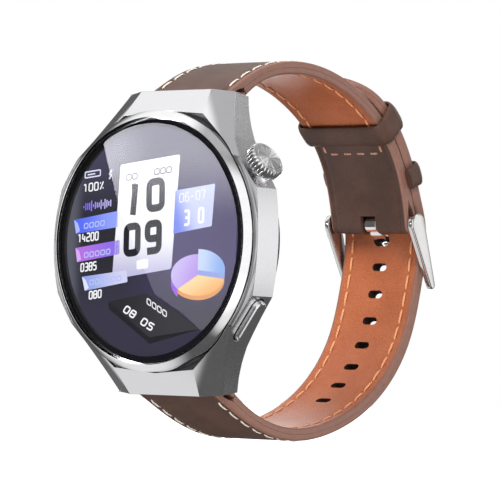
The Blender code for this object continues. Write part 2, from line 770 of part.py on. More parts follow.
def recess_outline():
    """Room for the bezel: round at the sides, with a corner at each end of both hoods."""
    quarter = arc((0, 0), RECESS_RADIUS, 0, RECESS_TANGENT, 2 * CURVE_STEPS)
    quarter += [(HOOD_CORNER[0], HOOD_CORNER[2]), (0, RECESS_RADIUS)]
    return four_ways(quarter)


def notched_circle(radius, notch, half):
    """A circle with a notch at each screw boss."""
    points = []
    for k in range(SEGMENTS * 2):
        angle = 2 * pi * k / (SEGMENTS * 2)
        near = min(abs(angle - boss) for boss in BOSS_ANGLES)
        r = notch if near < half else radius
        points.append((r * cos(angle), r * sin(angle)))
    corners = [points[k] for k in range(len(points))
               if k % 2 == 0 or hypot(*points[k]) < radius - 0.1 or hypot(*points[k - 1]) < radius - 0.1]
    return corners


def cut_facets(case):
    """The sloping hood, its oblique facets and the leaning end faces, at both ends."""
    for up in (1, -1):
        slope = (LUG_END_Z - HOOD_CORNER[2]) / (HOOD_END_Y - HOOD_CORNER[1])
        plane_cut(case, (0, HOOD_CORNER[1], up * HOOD_CORNER[2]), Vector((0, -slope, up)))
        plane_cut(case, (0, HOOD_END_Y, up * LUG_END_Z), Vector((0, END_LEAN, up)))
        for side in (1, -1):
            a = Vector((side * HOOD_END_HALF, HOOD_END_Y, up * LUG_END_Z))
            b = Vector((side * HOOD_CORNER[0], HOOD_CORNER[1], up * HOOD_CORNER[2]))
            c = Vector((side * LUG_CORNER[0], LUG_CORNER[1], up * LUG_CORNER[2]))
            normal = (b - a).cross(c - a) * side * up
            plane_cut(case, a, normal)


def rear_tool():
    """Everything behind the case's curved back."""
    reach = 30
    heights = [reach * k / 12 for k in range(-12, 13)]
    curve = [(REAR_Y + REAR_SWEEP * abs(z / LUG_CORNER[2]) ** 3, z) for z in heights]
    return prism("rear_tool", curve + [(40, reach), (40, -reach)], -30, 30, steel(), "X")


def ring_tool():
    """Everything in front of the brushed ring beside the bezel."""
    edge = RING_Y + RING_SLOPE * (34 - BEZEL_OUTER)
    return lathe("ring_tool", [(0, -3), (34, -3), (34, edge), (BEZEL_OUTER, RING_Y), (0, RING_Y)],
                 steel(), FINE)


def pocket_tool(up):
    """Room behind the hood for the strap's end and its swing."""
    curve = arc((PIVOT_Y, PIVOT_Z), POCKET_RADIUS, pi, 3 * pi / 2, 6)
    outline = [(POCKET_FRONT, 30)] + curve + [(20, PIVOT_Z - POCKET_RADIUS), (20, 30)]
    return prism("pocket", [(y, up * z) for y, z in outline], -LUG_GAP_HALF, LUG_GAP_HALF,
                 steel(), "X")


def pin_tool(radius, near, far, at, direction):
    """A round hole along a direction, from near to far."""
    tool = rod("pin_tool", radius, (near, far), steel())
    aim(tool, at, direction)
    return tool


def flank_axis(up):
    """Direction that points straight out of the upper or the lower right flank."""
    run = CASE_HALF_WIDTH - SIDE_BOW * (1 - cos(asin(SIDE_HALF_HEIGHT / SIDE_BOW))) - FLANK_END[0]
    rise = FLANK_END[1] - SIDE_HALF_HEIGHT
    return Vector((rise, 0, up * run)).normalized()


def pill(name, length, width, levels, look, smooth_angle=None):
    """A long rounded button along local X, from (inset, height) levels along local Y."""
    rings = []
    for inset, height in levels:
        r = width / 2 - inset
        end = length / 2 - width / 2
        outline = arc((end, 0), r, -pi / 2, pi / 2, 6) + arc((-end, 0), r, pi / 2, 3 * pi / 2, 6)
        rings.append([(x, height, z) for x, z in outline])
    return loft(name, rings, look, smooth_angle=smooth_angle)


def aim_button(thing):
    """Stand a pill on the lower flank with its length along the flank."""
    out = flank_axis(-1)
    run = Vector((-out.z, 0, out.x))
    frame = Matrix((run, out, run.cross(out))).transposed()
    thing.rotation_mode = "QUATERNION"
    thing.rotation_quaternion = frame.to_quaternion()
    thing.location = Vector((BUTTON_AT[0], CONTROL_Y, BUTTON_AT[1])) * MM


def mid_case():
    """Steel case: faceted hoods over the lugs, an open middle, and bores for what it holds."""
    case = prism("mid_case", case_outline(), FRONT_Y, 13, steel())
    cut_facets(case)
    carve(case, rear_tool())
    carve(case, ring_tool())
    carve(case, prism("recess", recess_outline(), -1, RECESS_FLOOR, steel()))
    cavity = notched_circle(CAVITY_RADIUS, BOSS_INNER, BOSS_HALF)
    carve(case, prism("cavity", cavity, RECESS_FLOOR - 1, SHELF_Y + 1, steel()))
    carve(case, lathe("rear_bore", [(0, SHELF_Y), (REAR_BORE, SHELF_Y), (REAR_BORE, 20), (0, 20)],
                      steel(), FINE))
    for up in (1, -1):
        carve(case, pocket_tool(up))
        for side in (1, -1):
            at = (0, PIVOT_Y, up * PIVOT_Z)
            carve(case, pin_tool(TIP_RADIUS + SLIP, LUG_GAP_HALF - 1, TIP_HOLE_END, at, (side, 0, 0)))
    for boss in BOSS_ANGLES:
        at = (SCREW_CIRCLE * cos(boss), 0, SCREW_CIRCLE * sin(boss))
        carve(case, pin_tool(SCREW_HOLE_RADIUS, RECESS_FLOOR + 0.9, SHELF_Y + 1, at, (0, 1, 0)))
    crown = (CROWN_AT[0], CONTROL_Y, CROWN_AT[1])
    carve(case, pin_tool(CROWN_BORE, -6, 4, crown, flank_axis(1)))
    pocket = pill("pocket", BUTTON_LENGTH + 2 * GAP, BUTTON_WIDTH + 2 * GAP,
                  [(0, BUTTON_POCKET), (0, 3)], steel())
    aim_button(pocket)
    carve(case, pocket)
    button = (BUTTON_AT[0], CONTROL_Y, BUTTON_AT[1])
    carve(case, pin_tool(BUTTON_BORE, -6, 0, button, flank_axis(-1)))
    return case


# ---- dial, back and inside --------------------------------------------------------------------
def dial_stack():
    """Bezel, glass, its gasket and the display."""
    ledge = GLASS_THICK + GAP + 0.5
    inner, outer = BEZEL_LEDGE + 0.1, BEZEL_INNER - 0.3
    near, far = GLASS_THICK + 0.2, ledge - 0.2
    lathe("bezel", [(BEZEL_INNER, 0), (BEZEL_OUTER, BEZEL_CHAMFER), (BEZEL_OUTER, BEZEL_BACK),
                    (BEZEL_LEDGE, BEZEL_BACK), (BEZEL_LEDGE, ledge), (BEZEL_INNER, ledge)],
          polished(), FINE)
    lathe("cover_glass", [(0, 0), (GLASS_RADIUS - 0.35, 0), (GLASS_RADIUS, 0.2),
                          (GLASS_RADIUS, GLASS_THICK), (0, GLASS_THICK)], black_glass(), FINE)
    washer("glass_gasket", (inner, outer), (near, far), rubber())
    disc("display_panel", DISPLAY_RADIUS, PANEL_DEPTHS, display_black())


def back_stack():
    """Rear cover with its gasket, sensor window, coil, sensor board and screws."""
    hub = WINDOW_RADIUS + GAP
    inside = COVER_RADIUS - COVER_WALL
    ceiling = COVER_BACK - COVER_THICK
    profile = [(hub, COVER_BACK - 0.9), (hub, COVER_BACK), (COVER_RADIUS - 1.7, COVER_BACK),
               (COVER_RADIUS - 0.9, COVER_BACK - 0.5), (COVER_RADIUS, COVER_SHOULDER),
               (COVER_RADIUS, COVER_FRONT), (inside, COVER_FRONT), (inside, COVER_SHOULDER - 0.1),
               (inside - 0.7, ceiling), (hub, ceiling)]
    cover = lathe("rear_cover", profile, black_plastic(), FINE)
    sink = SCREW_DEPTHS[1] - 0.1
    for boss in BOSS_ANGLES:
        at = (SCREW_CIRCLE * cos(boss), 0, SCREW_CIRCLE * sin(boss))
        carve(cover, pin_tool(SCREW_HOLE_RADIUS, sink - 2, sink + 2, at, (0, 1, 0)))
        carve(cover, pin_tool(SCREW_SINK_RADIUS, sink, sink + 2, at, (0, 1, 0)))
    lathe("sensor_window", [(0, WINDOW_FRONT), (WINDOW_RADIUS, WINDOW_FRONT),
                            (WINDOW_RADIUS, WINDOW_BACK - 0.8), (WINDOW_FLAT, WINDOW_BACK),
                            (0, WINDOW_BACK)], black_glass())
    washer("rear_gasket", (19.8, 20.8), (SHELF_Y + 0.1, SHELF_Y + 0.35), rubber())
    washer("charging_coil", COIL_RADII, COIL_DEPTHS, copper())
    disc("sensor_board", SENSOR_BOARD_RADIUS, SENSOR_BOARD_DEPTHS, board_green())
    tip, under, top = SCREW_DEPTHS
    screw = [(0, tip), (SCREW_RADIUS, tip), (SCREW_RADIUS, under), (SCREW_HEAD_RADIUS, under),
             (SCREW_HEAD_RADIUS, top), (0, top)]
    for count, boss in enumerate(BOSS_ANGLES, 1):
        piece = lathe(f"rear_screw_{count}", screw, steel(), SMALL)
        piece.location = Vector((SCREW_CIRCLE * cos(boss), 0, SCREW_CIRCLE * sin(boss))) * MM


def inside():
    """Frame, board, battery and the small parts between the display and the back."""
    washer("antenna_ring", ANTENNA_RADII, RING_DEPTHS, copper())
    washer("inner_frame", FRAME_RADII, RING_DEPTHS, black_plastic())
    disc("main_board", BOARD_RADIUS, BOARD_DEPTHS, board_green())
    box("processor_shield", *SHIELD, steel())
    box("battery", *BATTERY, battery_silver())
    box("vibration_motor", *MOTOR, steel())
    box("speaker_module", *SPEAKER, black_plastic())
    box("microphone", *MICROPHONE, steel())


def crown():
    """Knurled crown on its stem, with the tube, seal, clip and encoder that it works with."""
    at = (CROWN_AT[0], CONTROL_Y, CROWN_AT[1])
    tube = washer("crown_tube", (0.8, 1.1), (-3.3, 0.3), steel(), SMALL)
    seal = washer("crown_seal", (STEM_RADIUS + 0.06, 0.74), (-2.2, -1.8), rubber(), SMALL)
    clip = washer("crown_clip", (STEM_RADIUS + 0.1, CROWN_BORE), (-4.6, -4.2), steel(), SMALL)
    stem = rod("crown_stem", STEM_RADIUS, (STEM_INNER_END, CROWN_FOOT - 0.1), steel())
    encoder = rod("crown_encoder", 1.2, (STEM_INNER_END - 2.0, STEM_INNER_END - 0.7), black_plastic())
    levels = ((0.92, CROWN_FOOT), (1, CROWN_FOOT + 0.3), (1, CROWN_TOP - 0.45), (0.9, CROWN_TOP - 0.1),
              (0.45, CROWN_TOP))
    rings = []
    for share, height in levels:
        ring = []
        for k in range(2 * CROWN_TEETH):
            angle = pi * k / CROWN_TEETH
            notch = CROWN_NOTCH if k % 2 and share == 1 else 0
            r = CROWN_RADIUS * share - notch
            ring.append((r * cos(angle), height, r * sin(angle)))
        rings.append(ring)
    knob = loft("crown_knob", rings, polished())
    for piece in (tube, seal, clip, stem, knob, encoder):
        aim(piece, at, flank_axis(1))


def side_button():
    """Pill-shaped button with its stem, seal and switch."""
    cap = pill("side_button", BUTTON_LENGTH, BUTTON_WIDTH,
               [(0, BUTTON_FOOT), (0, BUTTON_TOP - 0.35), (0.12, BUTTON_TOP - 0.1), (0.4, BUTTON_TOP)],
               steel(), smooth_angle=35)
    aim_button(cap)
    at = (BUTTON_AT[0], CONTROL_Y, BUTTON_AT[1])
    stem = rod("button_stem", 0.45, (BUTTON_STEM_END, BUTTON_FOOT - 0.1), steel())
    seal = washer("button_seal", (0.55, 0.9), (-2.6, -2.2), rubber(), SMALL)
    switch = rod("button_switch", 1.2, (BUTTON_STEM_END - 1.9, BUTTON_STEM_END - 0.6), black_plastic())
    for piece in (stem, seal, switch):
        aim(piece, at, flank_axis(-1))


def clear_scene():
    for thing in list(bpy.data.objects):
        bpy.data.objects.remove(thing)


def main():
    clear_scene()
    mid_case()
    dial_stack()
    back_stack()
    inside()
    crown()
    side_button()
    upper_outer()
    upper_lining()
    spring_bar("spring_bar_top", PIVOT_Z)
    fixed_keeper()
    free_keeper()
    buckle_frame()
    buckle_bar()
    buckle_tongue()
    lower_outer()
    lower_lining()
    spring_bar("spring_bar_bottom", -PIVOT_Z)


main()
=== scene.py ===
"""Looks of the smartwatch: leather, stitching, lit dial, brushed and polished steel, studio light.

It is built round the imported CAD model, in the same frame: +Z to 12 o'clock, +X to 3 o'clock,
the dial facing -Y. Lengths are in millimetres and become metres when a mesh is made.
"""

import json
from math import asin, atan2, cos, exp, hypot, pi, radians, sin, sqrt

import bmesh
import bpy
import numpy as np
from mathutils import Matrix, Vector

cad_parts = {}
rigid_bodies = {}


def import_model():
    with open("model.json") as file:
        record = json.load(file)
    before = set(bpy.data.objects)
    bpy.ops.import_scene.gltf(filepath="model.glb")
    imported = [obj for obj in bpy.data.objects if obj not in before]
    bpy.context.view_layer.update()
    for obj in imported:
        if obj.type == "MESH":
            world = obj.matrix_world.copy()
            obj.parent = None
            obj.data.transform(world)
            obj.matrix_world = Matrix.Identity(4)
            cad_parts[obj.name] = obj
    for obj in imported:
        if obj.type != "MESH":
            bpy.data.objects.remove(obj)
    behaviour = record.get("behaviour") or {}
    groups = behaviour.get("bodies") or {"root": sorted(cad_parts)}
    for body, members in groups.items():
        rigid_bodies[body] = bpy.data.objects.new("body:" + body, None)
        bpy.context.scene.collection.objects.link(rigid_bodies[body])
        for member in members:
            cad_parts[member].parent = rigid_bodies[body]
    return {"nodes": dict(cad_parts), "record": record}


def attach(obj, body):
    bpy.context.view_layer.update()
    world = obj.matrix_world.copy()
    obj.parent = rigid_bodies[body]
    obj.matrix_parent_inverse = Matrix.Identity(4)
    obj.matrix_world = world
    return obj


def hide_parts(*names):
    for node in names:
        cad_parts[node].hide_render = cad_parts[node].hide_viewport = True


for thing in list(bpy.data.objects):
    bpy.data.objects.remove(thing)
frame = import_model()
bpy.context.view_layer.update()

MM = 0.001

# ---- case and dial, as in the CAD source
GLASS_RADIUS = 20.75
GLASS_THICK = 1.0
BEZEL_INNER = 21.0
BEZEL_OUTER = 22.13
BEZEL_CHAMFER = 0.98
BEZEL_LEDGE = 19.5
BEZEL_BACK = 3.0
BORDER = (19.55, 20.6)       # radii of the dark border printed under the glass
BORDER_SHIFT = -0.55         # its inner edge is drawn off centre
LEDGE_Y = 1.8
CASE_RECESS = 23.6           # radius within which the case lies in the bezel's shade, painted there as dark steel
WINDOW_BACK = 12.3
COVER_BACK = 11.4
ROUND_STEPS = 240

# ---- crown and button
CROWN_AT = (19.56, 4.6, 12.26)
CROWN_AXIS = (0.8123, 0.0, 0.5832)
CROWN_RADIUS = 3.35
CROWN_FOOT, CROWN_TOP = 0.9, 3.15
CROWN_TEETH = 28
CROWN_NOTCH = 0.3
CROWN_STEPS = 10             # points round each tooth
BUTTON_AT = (19.07, 4.6, -12.94)
BUTTON_LENGTH = 8.2
BUTTON_WIDTH = 2.4
BUTTON_TOP = 1.05

# ---- buckle
CROSSBAR = (67.2, -4.2)
CROSSBAR_RADIUS = 0.75
CHEEK_INNER = 9.1
CHEEK_THICK = 1.1
CHEEK_HEAD = 1.95

# ---- strap, as in the CAD source
PIVOT_Y, PIVOT_Z = 9.8, 24.3
BAR_RADIUS = 0.75
STRAP_HALF_LUG = 9.0
STRAP_HALF = 8.7
TAPER_LENGTH = 26.0
OUTER_THICK = 0.85
HALF_THICK = 1.12
HALF_THICK_BAR = 1.72
SWELL_LENGTH = 14.0
LIP_LENGTH = 4.0
UPPER_ROUTE = ((PIVOT_Y, PIVOT_Z), (17.4, 29.2), (28.2, 31.7), (38.8, 30.6), (47.9, 26.9),
               (54.8, 21.6), (59.5, 14.4), (62.3, 6.5))
LOWER_ROUTE = ((PIVOT_Y, -PIVOT_Z), (17.8, -28.8), (29.6, -31.9), (42.6, -30.0), (54.6, -23.6),
               (61.8, -14.6), (64.75, -5.0))
HALVES_GAP = 0.25
TAIL_OVERLAP = 30.5
TAIL_POINT = 9.0
FLAP_LENGTH = 18.0
HOLE_IN_USE = (65.4, 3.9)    # where the tongue passes through the long half
HOLE_PITCH = 5.2
HOLE_SIZE = (3.2, 1.5)
HOLE_IN_USE_SIZE = (3.6, 2.4)
HOLES_BEFORE, HOLES_AFTER = 7, 2
TONGUE_SLOT_HALF = 1.7
KEEPER_THICK = 0.8
KEEPER_LENGTH = 4.8
FIXED_KEEPER_LENGTH = 3.8
KEEPER_ROOM = 0.25
KEEPER_CORNER = 0.55
KEEPER_ROUND = 1.9
KEEPER_BELLY = 0.4           # swell of its outside, as a share of the thickness
FREE_KEEPER_S = 47.3
FIXED_KEEPER_S = 58.2

# ---- leather work
STATION = 0.7                # spacing of the leather's sections
SEAM = 0.02                  # dark line between outer leather and lining
SQUEEZE_HALF = 3.0           # narrower sections are squeezed from this half width
EDGE_ROUND = 0.42            # radius of the outer edges
STITCH_INSET = 1.35          # from the edge of the outer leather
LINING_INSET = 2.0
STITCH_START = 2.4           # first stitch, from the spring bar
LINING_START = 6.5
STITCH_PITCH = 3.4
STITCH_LENGTH = 2.9
THREAD_RADIUS = 0.2
THREAD_FLAT = (1.15, 0.75)   # across and up, as shares of the radius
GROOVE_WIDTH = 0.38
GROOVE_DEPTH = 0.14
FLAP_ROW_S = FREE_KEEPER_S + KEEPER_LENGTH / 2 + 2.4
FLAP_BOX_HALF = 6.4
FLAP_PITCH = 3.0


# ---- node trees
def srgb(red, green, blue):
    """An 8-bit screen colour as the linear colour that the shaders take."""
    shares = [value / 255 for value in (red, green, blue)]
    return (*[c / 12.92 if c < 0.04045 else ((c + 0.055) / 1.055) ** 2.4 for c in shares], 1.0)


def dim(colour, share):
    return (*[c * share for c in colour[:3]], 1)


class Graph:
    """A node tree built one call at a time; most helpers return the socket they made."""

    def __init__(self, owner):
        self.owner = owner
        owner.use_nodes = True
        self.tree = owner.node_tree
        self.tree.nodes.clear()

    def node(self, kind, inputs=None, **settings):
        made = self.tree.nodes.new("ShaderNode" + kind)
        for key, value in settings.items():
            setattr(made, key, value)
        for key, value in (inputs or {}).items():
            if isinstance(value, bpy.types.NodeSocket):
                self.tree.links.new(value, made.inputs[key])
            else:
                made.inputs[key].default_value = value
        return made

    def math(self, operation, a, b=0.0):
        return self.node("Math", {0: a, 1: b}, operation=operation).outputs[0]

    def vector(self, operation, a, b):
        made = self.node("VectorMath", {0: a, 1: b}, operation=operation)
        return made.outputs["Value" if operation in ("DOT_PRODUCT", "DISTANCE") else "Vector"]

    def remap(self, value, low, high, to_low=0.0, to_high=1.0):
        """A smooth step from to_low to to_high as value goes from low to high."""
        inputs = {"Value": value, "From Min": low, "From Max": high, "To Min": to_low, "To Max": to_high}
        return self.node("MapRange", inputs, interpolation_type="SMOOTHSTEP").outputs[0]

    def mix(self, factor, a, b):
        return self.node("Mix", {0: factor, 6: a, 7: b}, data_type="RGBA").outputs[2]

    def noise(self, vector, scale, detail=4.0, rough=0.6):
        inputs = {"Vector": vector, "Scale": scale, "Detail": detail, "Roughness": rough}
        return self.node("TexNoise", inputs).outputs[0]

    def place(self, stretch=(1, 1, 1)):
        """Object coordinates, in metres, stretched along the axes."""
        return self.vector("MULTIPLY", self.node("TexCoord").outputs["Object"], stretch)

    def xyz(self, point):
        return self.node("SeparateXYZ", {0: point}).outputs

    def polar(self, spread, turns):
        """Radius, angle and depth about the Y axis, for marks that run in circles."""
        x, y, z = self.xyz(self.place())
        radius = self.math("SQRT", self.math("ADD", self.math("MULTIPLY", x, x), self.math("MULTIPLY", z, z)))
        angle = self.math("ARCTAN2", z, x)
        inputs = {0: self.math("MULTIPLY", radius, spread), 1: self.math("MULTIPLY", angle, turns), 2: y}
        return self.node("CombineXYZ", inputs).outputs[0]

    def bump(self, height, distance, strength=1.0):
        return self.node("Bump", {"Height": height, "Distance": distance, "Strength": strength}).outputs[0]

    def end(self, shader):
        kind = "OutputWorld" if isinstance(self.owner, bpy.types.World) else "OutputMaterial"
        self.node(kind, {"Surface": shader})
        return self.owner

    def principled(self, colour, roughness, normal, **more):
        inputs = {"Base Color": colour, "Roughness": roughness, "Normal": normal}
        inputs.update({key.replace("_", " "): value for key, value in more.items()})
        return self.end(self.node("BsdfPrincipled", inputs).outputs[0])


def surface(name):
    return Graph(bpy.data.materials.new(name))


# ---- materials
def metal(name, tone, rough, stretch, depth):
    """Steel with fine marks that run along the axis whose stretch is smallest."""
    g = surface(name)
    marks = g.noise(g.place(stretch), 1.0, 2.0, 0.5)
    cloud = g.noise(g.place(), 120.0, 2.0)
    roughness = g.math("ADD", g.remap(marks, 0.3, 0.7, rough - 0.03, rough + 0.03),
                       g.remap(cloud, 0.3, 0.7, -0.01, 0.01))
    colour = g.mix(g.remap(marks, 0.3, 0.7), dim(tone, 0.96), dim(tone, 1))
    return g.principled(colour, roughness, g.bump(marks, depth), Metallic=1.0)


def round_brushed(g, marks, height, colour, rough, pull):
    """Steel whose marks run round the Y axis, so that light gathers across them."""
    tangent = g.node("Tangent", direction_type="RADIAL", axis="Y").outputs[0]
    return g.principled(colour, g.remap(marks, 0.3, 0.7, rough, rough + 0.1), g.bump(height, 2e-6),
                        Metallic=1.0, Anisotropic=pull, Anisotropic_Rotation=0.25, Tangent=tangent)


def ring_steel():
    """Steel brushed in circles round the dial, with broader light and dark bands painted into its colour as
    painted reflections of the brushing.
    """
    g = surface("circular_brushed_steel_painted_bands")
    marks = g.noise(g.polar(9000.0, 3.0), 1.0, 3.0, 0.6)
    bands = g.noise(g.polar(2600.0, 1.2), 1.0, 2.0, 0.6)
    share = g.math("ADD", g.math("MULTIPLY", marks, 0.4), g.math("MULTIPLY", bands, 0.6))
    # painted reflection: the light and dark bands of the brushing are mixed into the base colour
    colour = g.mix(g.remap(share, 0.38, 0.6), srgb(118, 118, 120), srgb(214, 214, 215))
    return round_brushed(g, marks, share, colour, 0.36, 0.8)


def crown_steel():
    """Steel turned on a lathe, so light gathers in rays from the crown's centre; bright and dark sectors round
    the centre are also painted into its colour as a painted reflection of those rays.
    """
    g = surface("radial_brushed_steel_painted_sectors")
    marks = g.noise(g.polar(150.0, 5.0), 1.0, 3.0, 0.6)
    # painted reflection: bright and dark sectors round the centre are mixed into the base colour
    colour = g.mix(g.remap(marks, 0.35, 0.62), srgb(176, 176, 178), srgb(250, 250, 251))
    return round_brushed(g, marks, marks, colour, 0.42, 0.9)


def leather(name, light, dark, edge, pore, rough):
    """Grained leather with pores, painted shade along the creases of its grain, uneven tone and painted edges
    where the edge attribute is 1.
    """
    g = surface(name)
    light, dark, edge = srgb(*light), srgb(*dark), srgb(*edge)
    point = g.place()
    drift = g.node("TexNoise", {"Vector": point, "Scale": 900.0}).outputs["Color"]
    warped = g.vector("ADD", point, g.vector("MULTIPLY", drift, (2e-4,) * 3))
    cells = g.node("TexVoronoi", {"Vector": warped, "Scale": pore}, feature="DISTANCE_TO_EDGE")
    pores = g.remap(cells.outputs[0], 0.0, 0.22)
    fine = g.noise(point, 5200.0, 5.0, 0.65)
    tone = g.mix(g.remap(g.noise(point, 130.0), 0.32, 0.68), dark, light)
    # painted shade: the crease lines of the grain are darkened towards the dark tone
    crease_shade = g.math("MULTIPLY", g.math("SUBTRACT", 1.0, pores), 0.3)
    tone = g.mix(crease_shade, tone, dim(dark, 0.45))
    paint = g.remap(g.node("Attribute", attribute_name="edge").outputs["Fac"], 0.35, 0.75)
    colour = g.mix(paint, tone, g.mix(g.noise(point, 700.0, 3.0), edge, dim(edge, 0.7)))
    height = g.math("ADD", g.math("MULTIPLY", pores, 0.7), g.math("MULTIPLY", fine, 0.5))
    height = g.math("MULTIPLY", height, g.remap(paint, 0.0, 1.0, 1.0, 0.15))
    roughness = g.math("SUBTRACT", g.remap(fine, 0.3, 0.7, rough - 0.06, rough + 0.08),
                       g.math("MULTIPLY", paint, 0.08))
    return g.principled(colour, roughness, g.bump(height, 5e-5, 0.55), Specular_IOR_Level=0.4)


def thread(name, light, dark):
    """Waxed twisted thread: strands run slantwise along each stitch."""
    g = surface(name)
    point = g.place()
    strands = g.node("TexWave", {"Vector": point, "Scale": 900.0, "Distortion": 2.0, "Detail": 2.0},
                     bands_direction="DIAGONAL").outputs[1]
    roughness = g.remap(g.noise(point, 4000.0, 3.0), 0.3, 0.7, 0.5, 0.75)
    return g.principled(g.mix(strands, srgb(*dark), srgb(*light)), roughness, g.bump(strands, 3e-5, 0.5),
                        Sheen_Weight=0.3)


def plain(name, colour, rough, grain, depth, **more):
    """Moulded or coated material with a fine grain."""
    g = surface(name)
    colour = srgb(*colour)
    grit = g.noise(g.place(), grain, 5.0, 0.65)
    cloud = g.noise(g.place(), 160.0, 3.0)
    shade = g.mix(g.remap(cloud, 0.3, 0.7), dim(colour, 0.8), colour)
    return g.principled(shade, g.remap(grit, 0.3, 0.7, rough - 0.06, rough + 0.08), g.bump(grit, depth),
                        **more)


def copper_coil():
    """Enamelled wire wound in close rings."""
    g = surface("copper_wire")
    radius = g.xyz(g.polar(1.0, 1.0))[0]
    rings = g.math("ABSOLUTE", g.math("SINE", g.math("MULTIPLY", radius, 16000.0)))
    colour = g.mix(rings, srgb(88, 42, 22), srgb(214, 130, 84))
    return g.principled(colour, g.remap(rings, 0.0, 1.0, 0.5, 0.28), g.bump(rings, 8e-5), Metallic=1.0)


def circuit_board():
    """Green board with copper tracks under the mask."""
    g = surface("circuit_board")
    turned_point = g.node("Mapping", {"Vector": g.place(), "Rotation": (pi / 2, 0, 0)}).outputs[0]
    bricks = g.node("TexBrick", {"Vector": turned_point, "Scale": 420.0, "Mortar Size": 0.03})
    tracks = bricks.outputs["Fac"]
    colour = g.mix(tracks, srgb(14, 66, 40), srgb(60, 128, 74))
    return g.principled(colour, g.remap(tracks, 0, 1, 0.5, 0.3), g.bump(tracks, 3e-5))


def window_glass():
    """Clear glass: it shines where its outer faces are lit and lets the rest through unbent."""
    g = surface("cover_glass")
    smears = g.noise(g.place(), 160.0)
    normal = g.bump(smears, 4e-7)
    facing = g.math("SUBTRACT", 1.0, g.node("NewGeometry").outputs["Backfacing"])
    factor = g.math("MULTIPLY", g.node("Fresnel", {"IOR": 1.5, "Normal": normal}).outputs[0], facing)
    gloss = g.node("BsdfGlossy", {"Roughness": g.remap(smears, 0.3, 0.7, 0.006, 0.02), "Normal": normal})
    clear = g.node("BsdfTransparent")
    return g.end(g.node("MixShader", {0: factor, 1: clear.outputs[0], 2: gloss.outputs[0]}).outputs[0])


def lit_display(g, colour, strength, roughness, height):
    """Finish of the display: black behind, with its picture as light."""
    return g.principled((0.01, 0.01, 0.012, 1), roughness, g.bump(height, 1e-6), Emission_Color=colour,
                        Specular_IOR_Level=0.0, Emission_Strength=strength)


def lit(name, first, second=None, start=(0, 0), end=(0, 1)):
    """A lit part of the display that fades from one colour to another between two (x, z) points."""
    g = surface(name)
    colour = srgb(*first)
    if second:
        run = Vector((end[0] - start[0], 0, end[1] - start[1])) * MM
        from_start = g.vector("SUBTRACT", g.place(), (start[0] * MM, 0, start[1] * MM))
        share = g.math("DIVIDE", g.vector("DOT_PRODUCT", from_start, tuple(run)), run.length_squared)
        colour = g.mix(g.remap(share, 0.0, 1.0), colour, srgb(*second))
    dots = g.noise(g.place(), 9000.0, 2.0)
    return lit_display(g, colour, g.remap(dots, 0.2, 0.8, 0.97, 1.03), g.remap(dots, 0.3, 0.7, 0.3, 0.4), dots)


def display_ground():
    """The display's dark picture: violet to the right, paler at the top, with a lighter left rim."""
    g = surface("display_ground")
    x, y, z = g.xyz(g.place())
    colour = g.mix(g.remap(x, -9 * MM, 7 * MM), srgb(22, 22, 28), srgb(72, 61, 110))
    colour = g.mix(g.remap(z, -13 * MM, -3 * MM), srgb(46, 43, 62), colour)
    colour = g.mix(g.remap(z, 2 * MM, 16 * MM), colour, srgb(66, 62, 88))
    colour = g.mix(g.remap(x, -18.6 * MM, -15.5 * MM, 0.75, 0.0), colour, srgb(98, 100, 114))
    cloud = g.noise(g.place(), 90.0, 3.0)
    colour = g.mix(g.remap(cloud, 0.35, 0.75, 0.0, 0.3), colour, srgb(44, 40, 60))
    return lit_display(g, colour, 1.0, 0.35, cloud)


def make_materials():
    """Every material, under the name of its slot in the record where it has one."""
    steel = (0.80, 0.80, 0.815)
    edge = (124, 88, 76)
    return {
        "brushed_steel": metal("brushed_steel", steel, 0.27, (9000, 9000, 900), 6e-8),
        "facet": metal("hood_steel", steel, 0.2, (900, 9000, 9000), 1.2e-7),
        "polished_steel": metal("polished_steel", (0.88, 0.88, 0.89), 0.1, (900, 900, 900), 2e-7),
        "buckle": metal("buckle_steel", (0.74, 0.73, 0.725), 0.16, (900, 900, 900), 2e-7),
        "button": metal("button_steel", (0.86, 0.86, 0.87), 0.22, (6000, 6000, 6000), 2e-7),
        # painted shade: dark steel for the recess faces round the bezel, where its shade falls
        "recess_shade": metal("shaded_steel", (0.2, 0.2, 0.205), 0.4, (4000, 4000, 4000), 3e-7),
        "ring": ring_steel(),
        "crown": crown_steel(),
        "brown": leather("brown_leather", (78, 55, 46), (64, 44, 36), edge, 2300.0, 0.46),
        "tan": leather("tan_leather", (160, 90, 56), (148, 80, 48), edge, 1700.0, 0.46),
        # painted shade: very dark leather for the walls of the punched holes, as the shade inside them
        "punched": leather("hole_wall_painted_shade", (52, 32, 24), (40, 24, 18), (52, 32, 24), 2300.0, 0.7),
        "cream": thread("cream_thread", (198, 188, 175), (176, 164, 150)),
        "orange": thread("tan_thread", (208, 142, 98), (184, 118, 78)),
        "rose": thread("rose_thread", (190, 136, 114), (160, 108, 88)),
        "glass": window_glass(),
        "display_black": plain("printed_border", (16, 15, 20), 0.5, 5000.0, 1e-6, Specular_IOR_Level=0.0),
        "black_plastic": plain("black_plastic", (26, 26, 28), 0.42, 3200.0, 1.2e-5),
        "sensor_glass": plain("sensor_glass", (9, 9, 12), 0.08, 1500.0, 4e-7, Coat_Weight=1.0),
        "black_rubber": plain("black_rubber", (22, 22, 22), 0.78, 2600.0, 1.5e-5),
        "battery_foil": plain("battery_foil", (186, 186, 190), 0.45, 900.0, 3e-5, Metallic=0.6),
        "lens": plain("sensor_lens", (30, 44, 36), 0.06, 1500.0, 4e-7, Coat_Weight=1.0),
        "copper_wire": copper_coil(),
        "circuit_board": circuit_board(),
        "ground": display_ground(),
    }


MATERIALS = make_materials()
SLOTS = {part["node"]: part["material_slot"] for part in frame["record"]["subparts"]}
SLOTS["buckle_bar"] = "polished_steel"


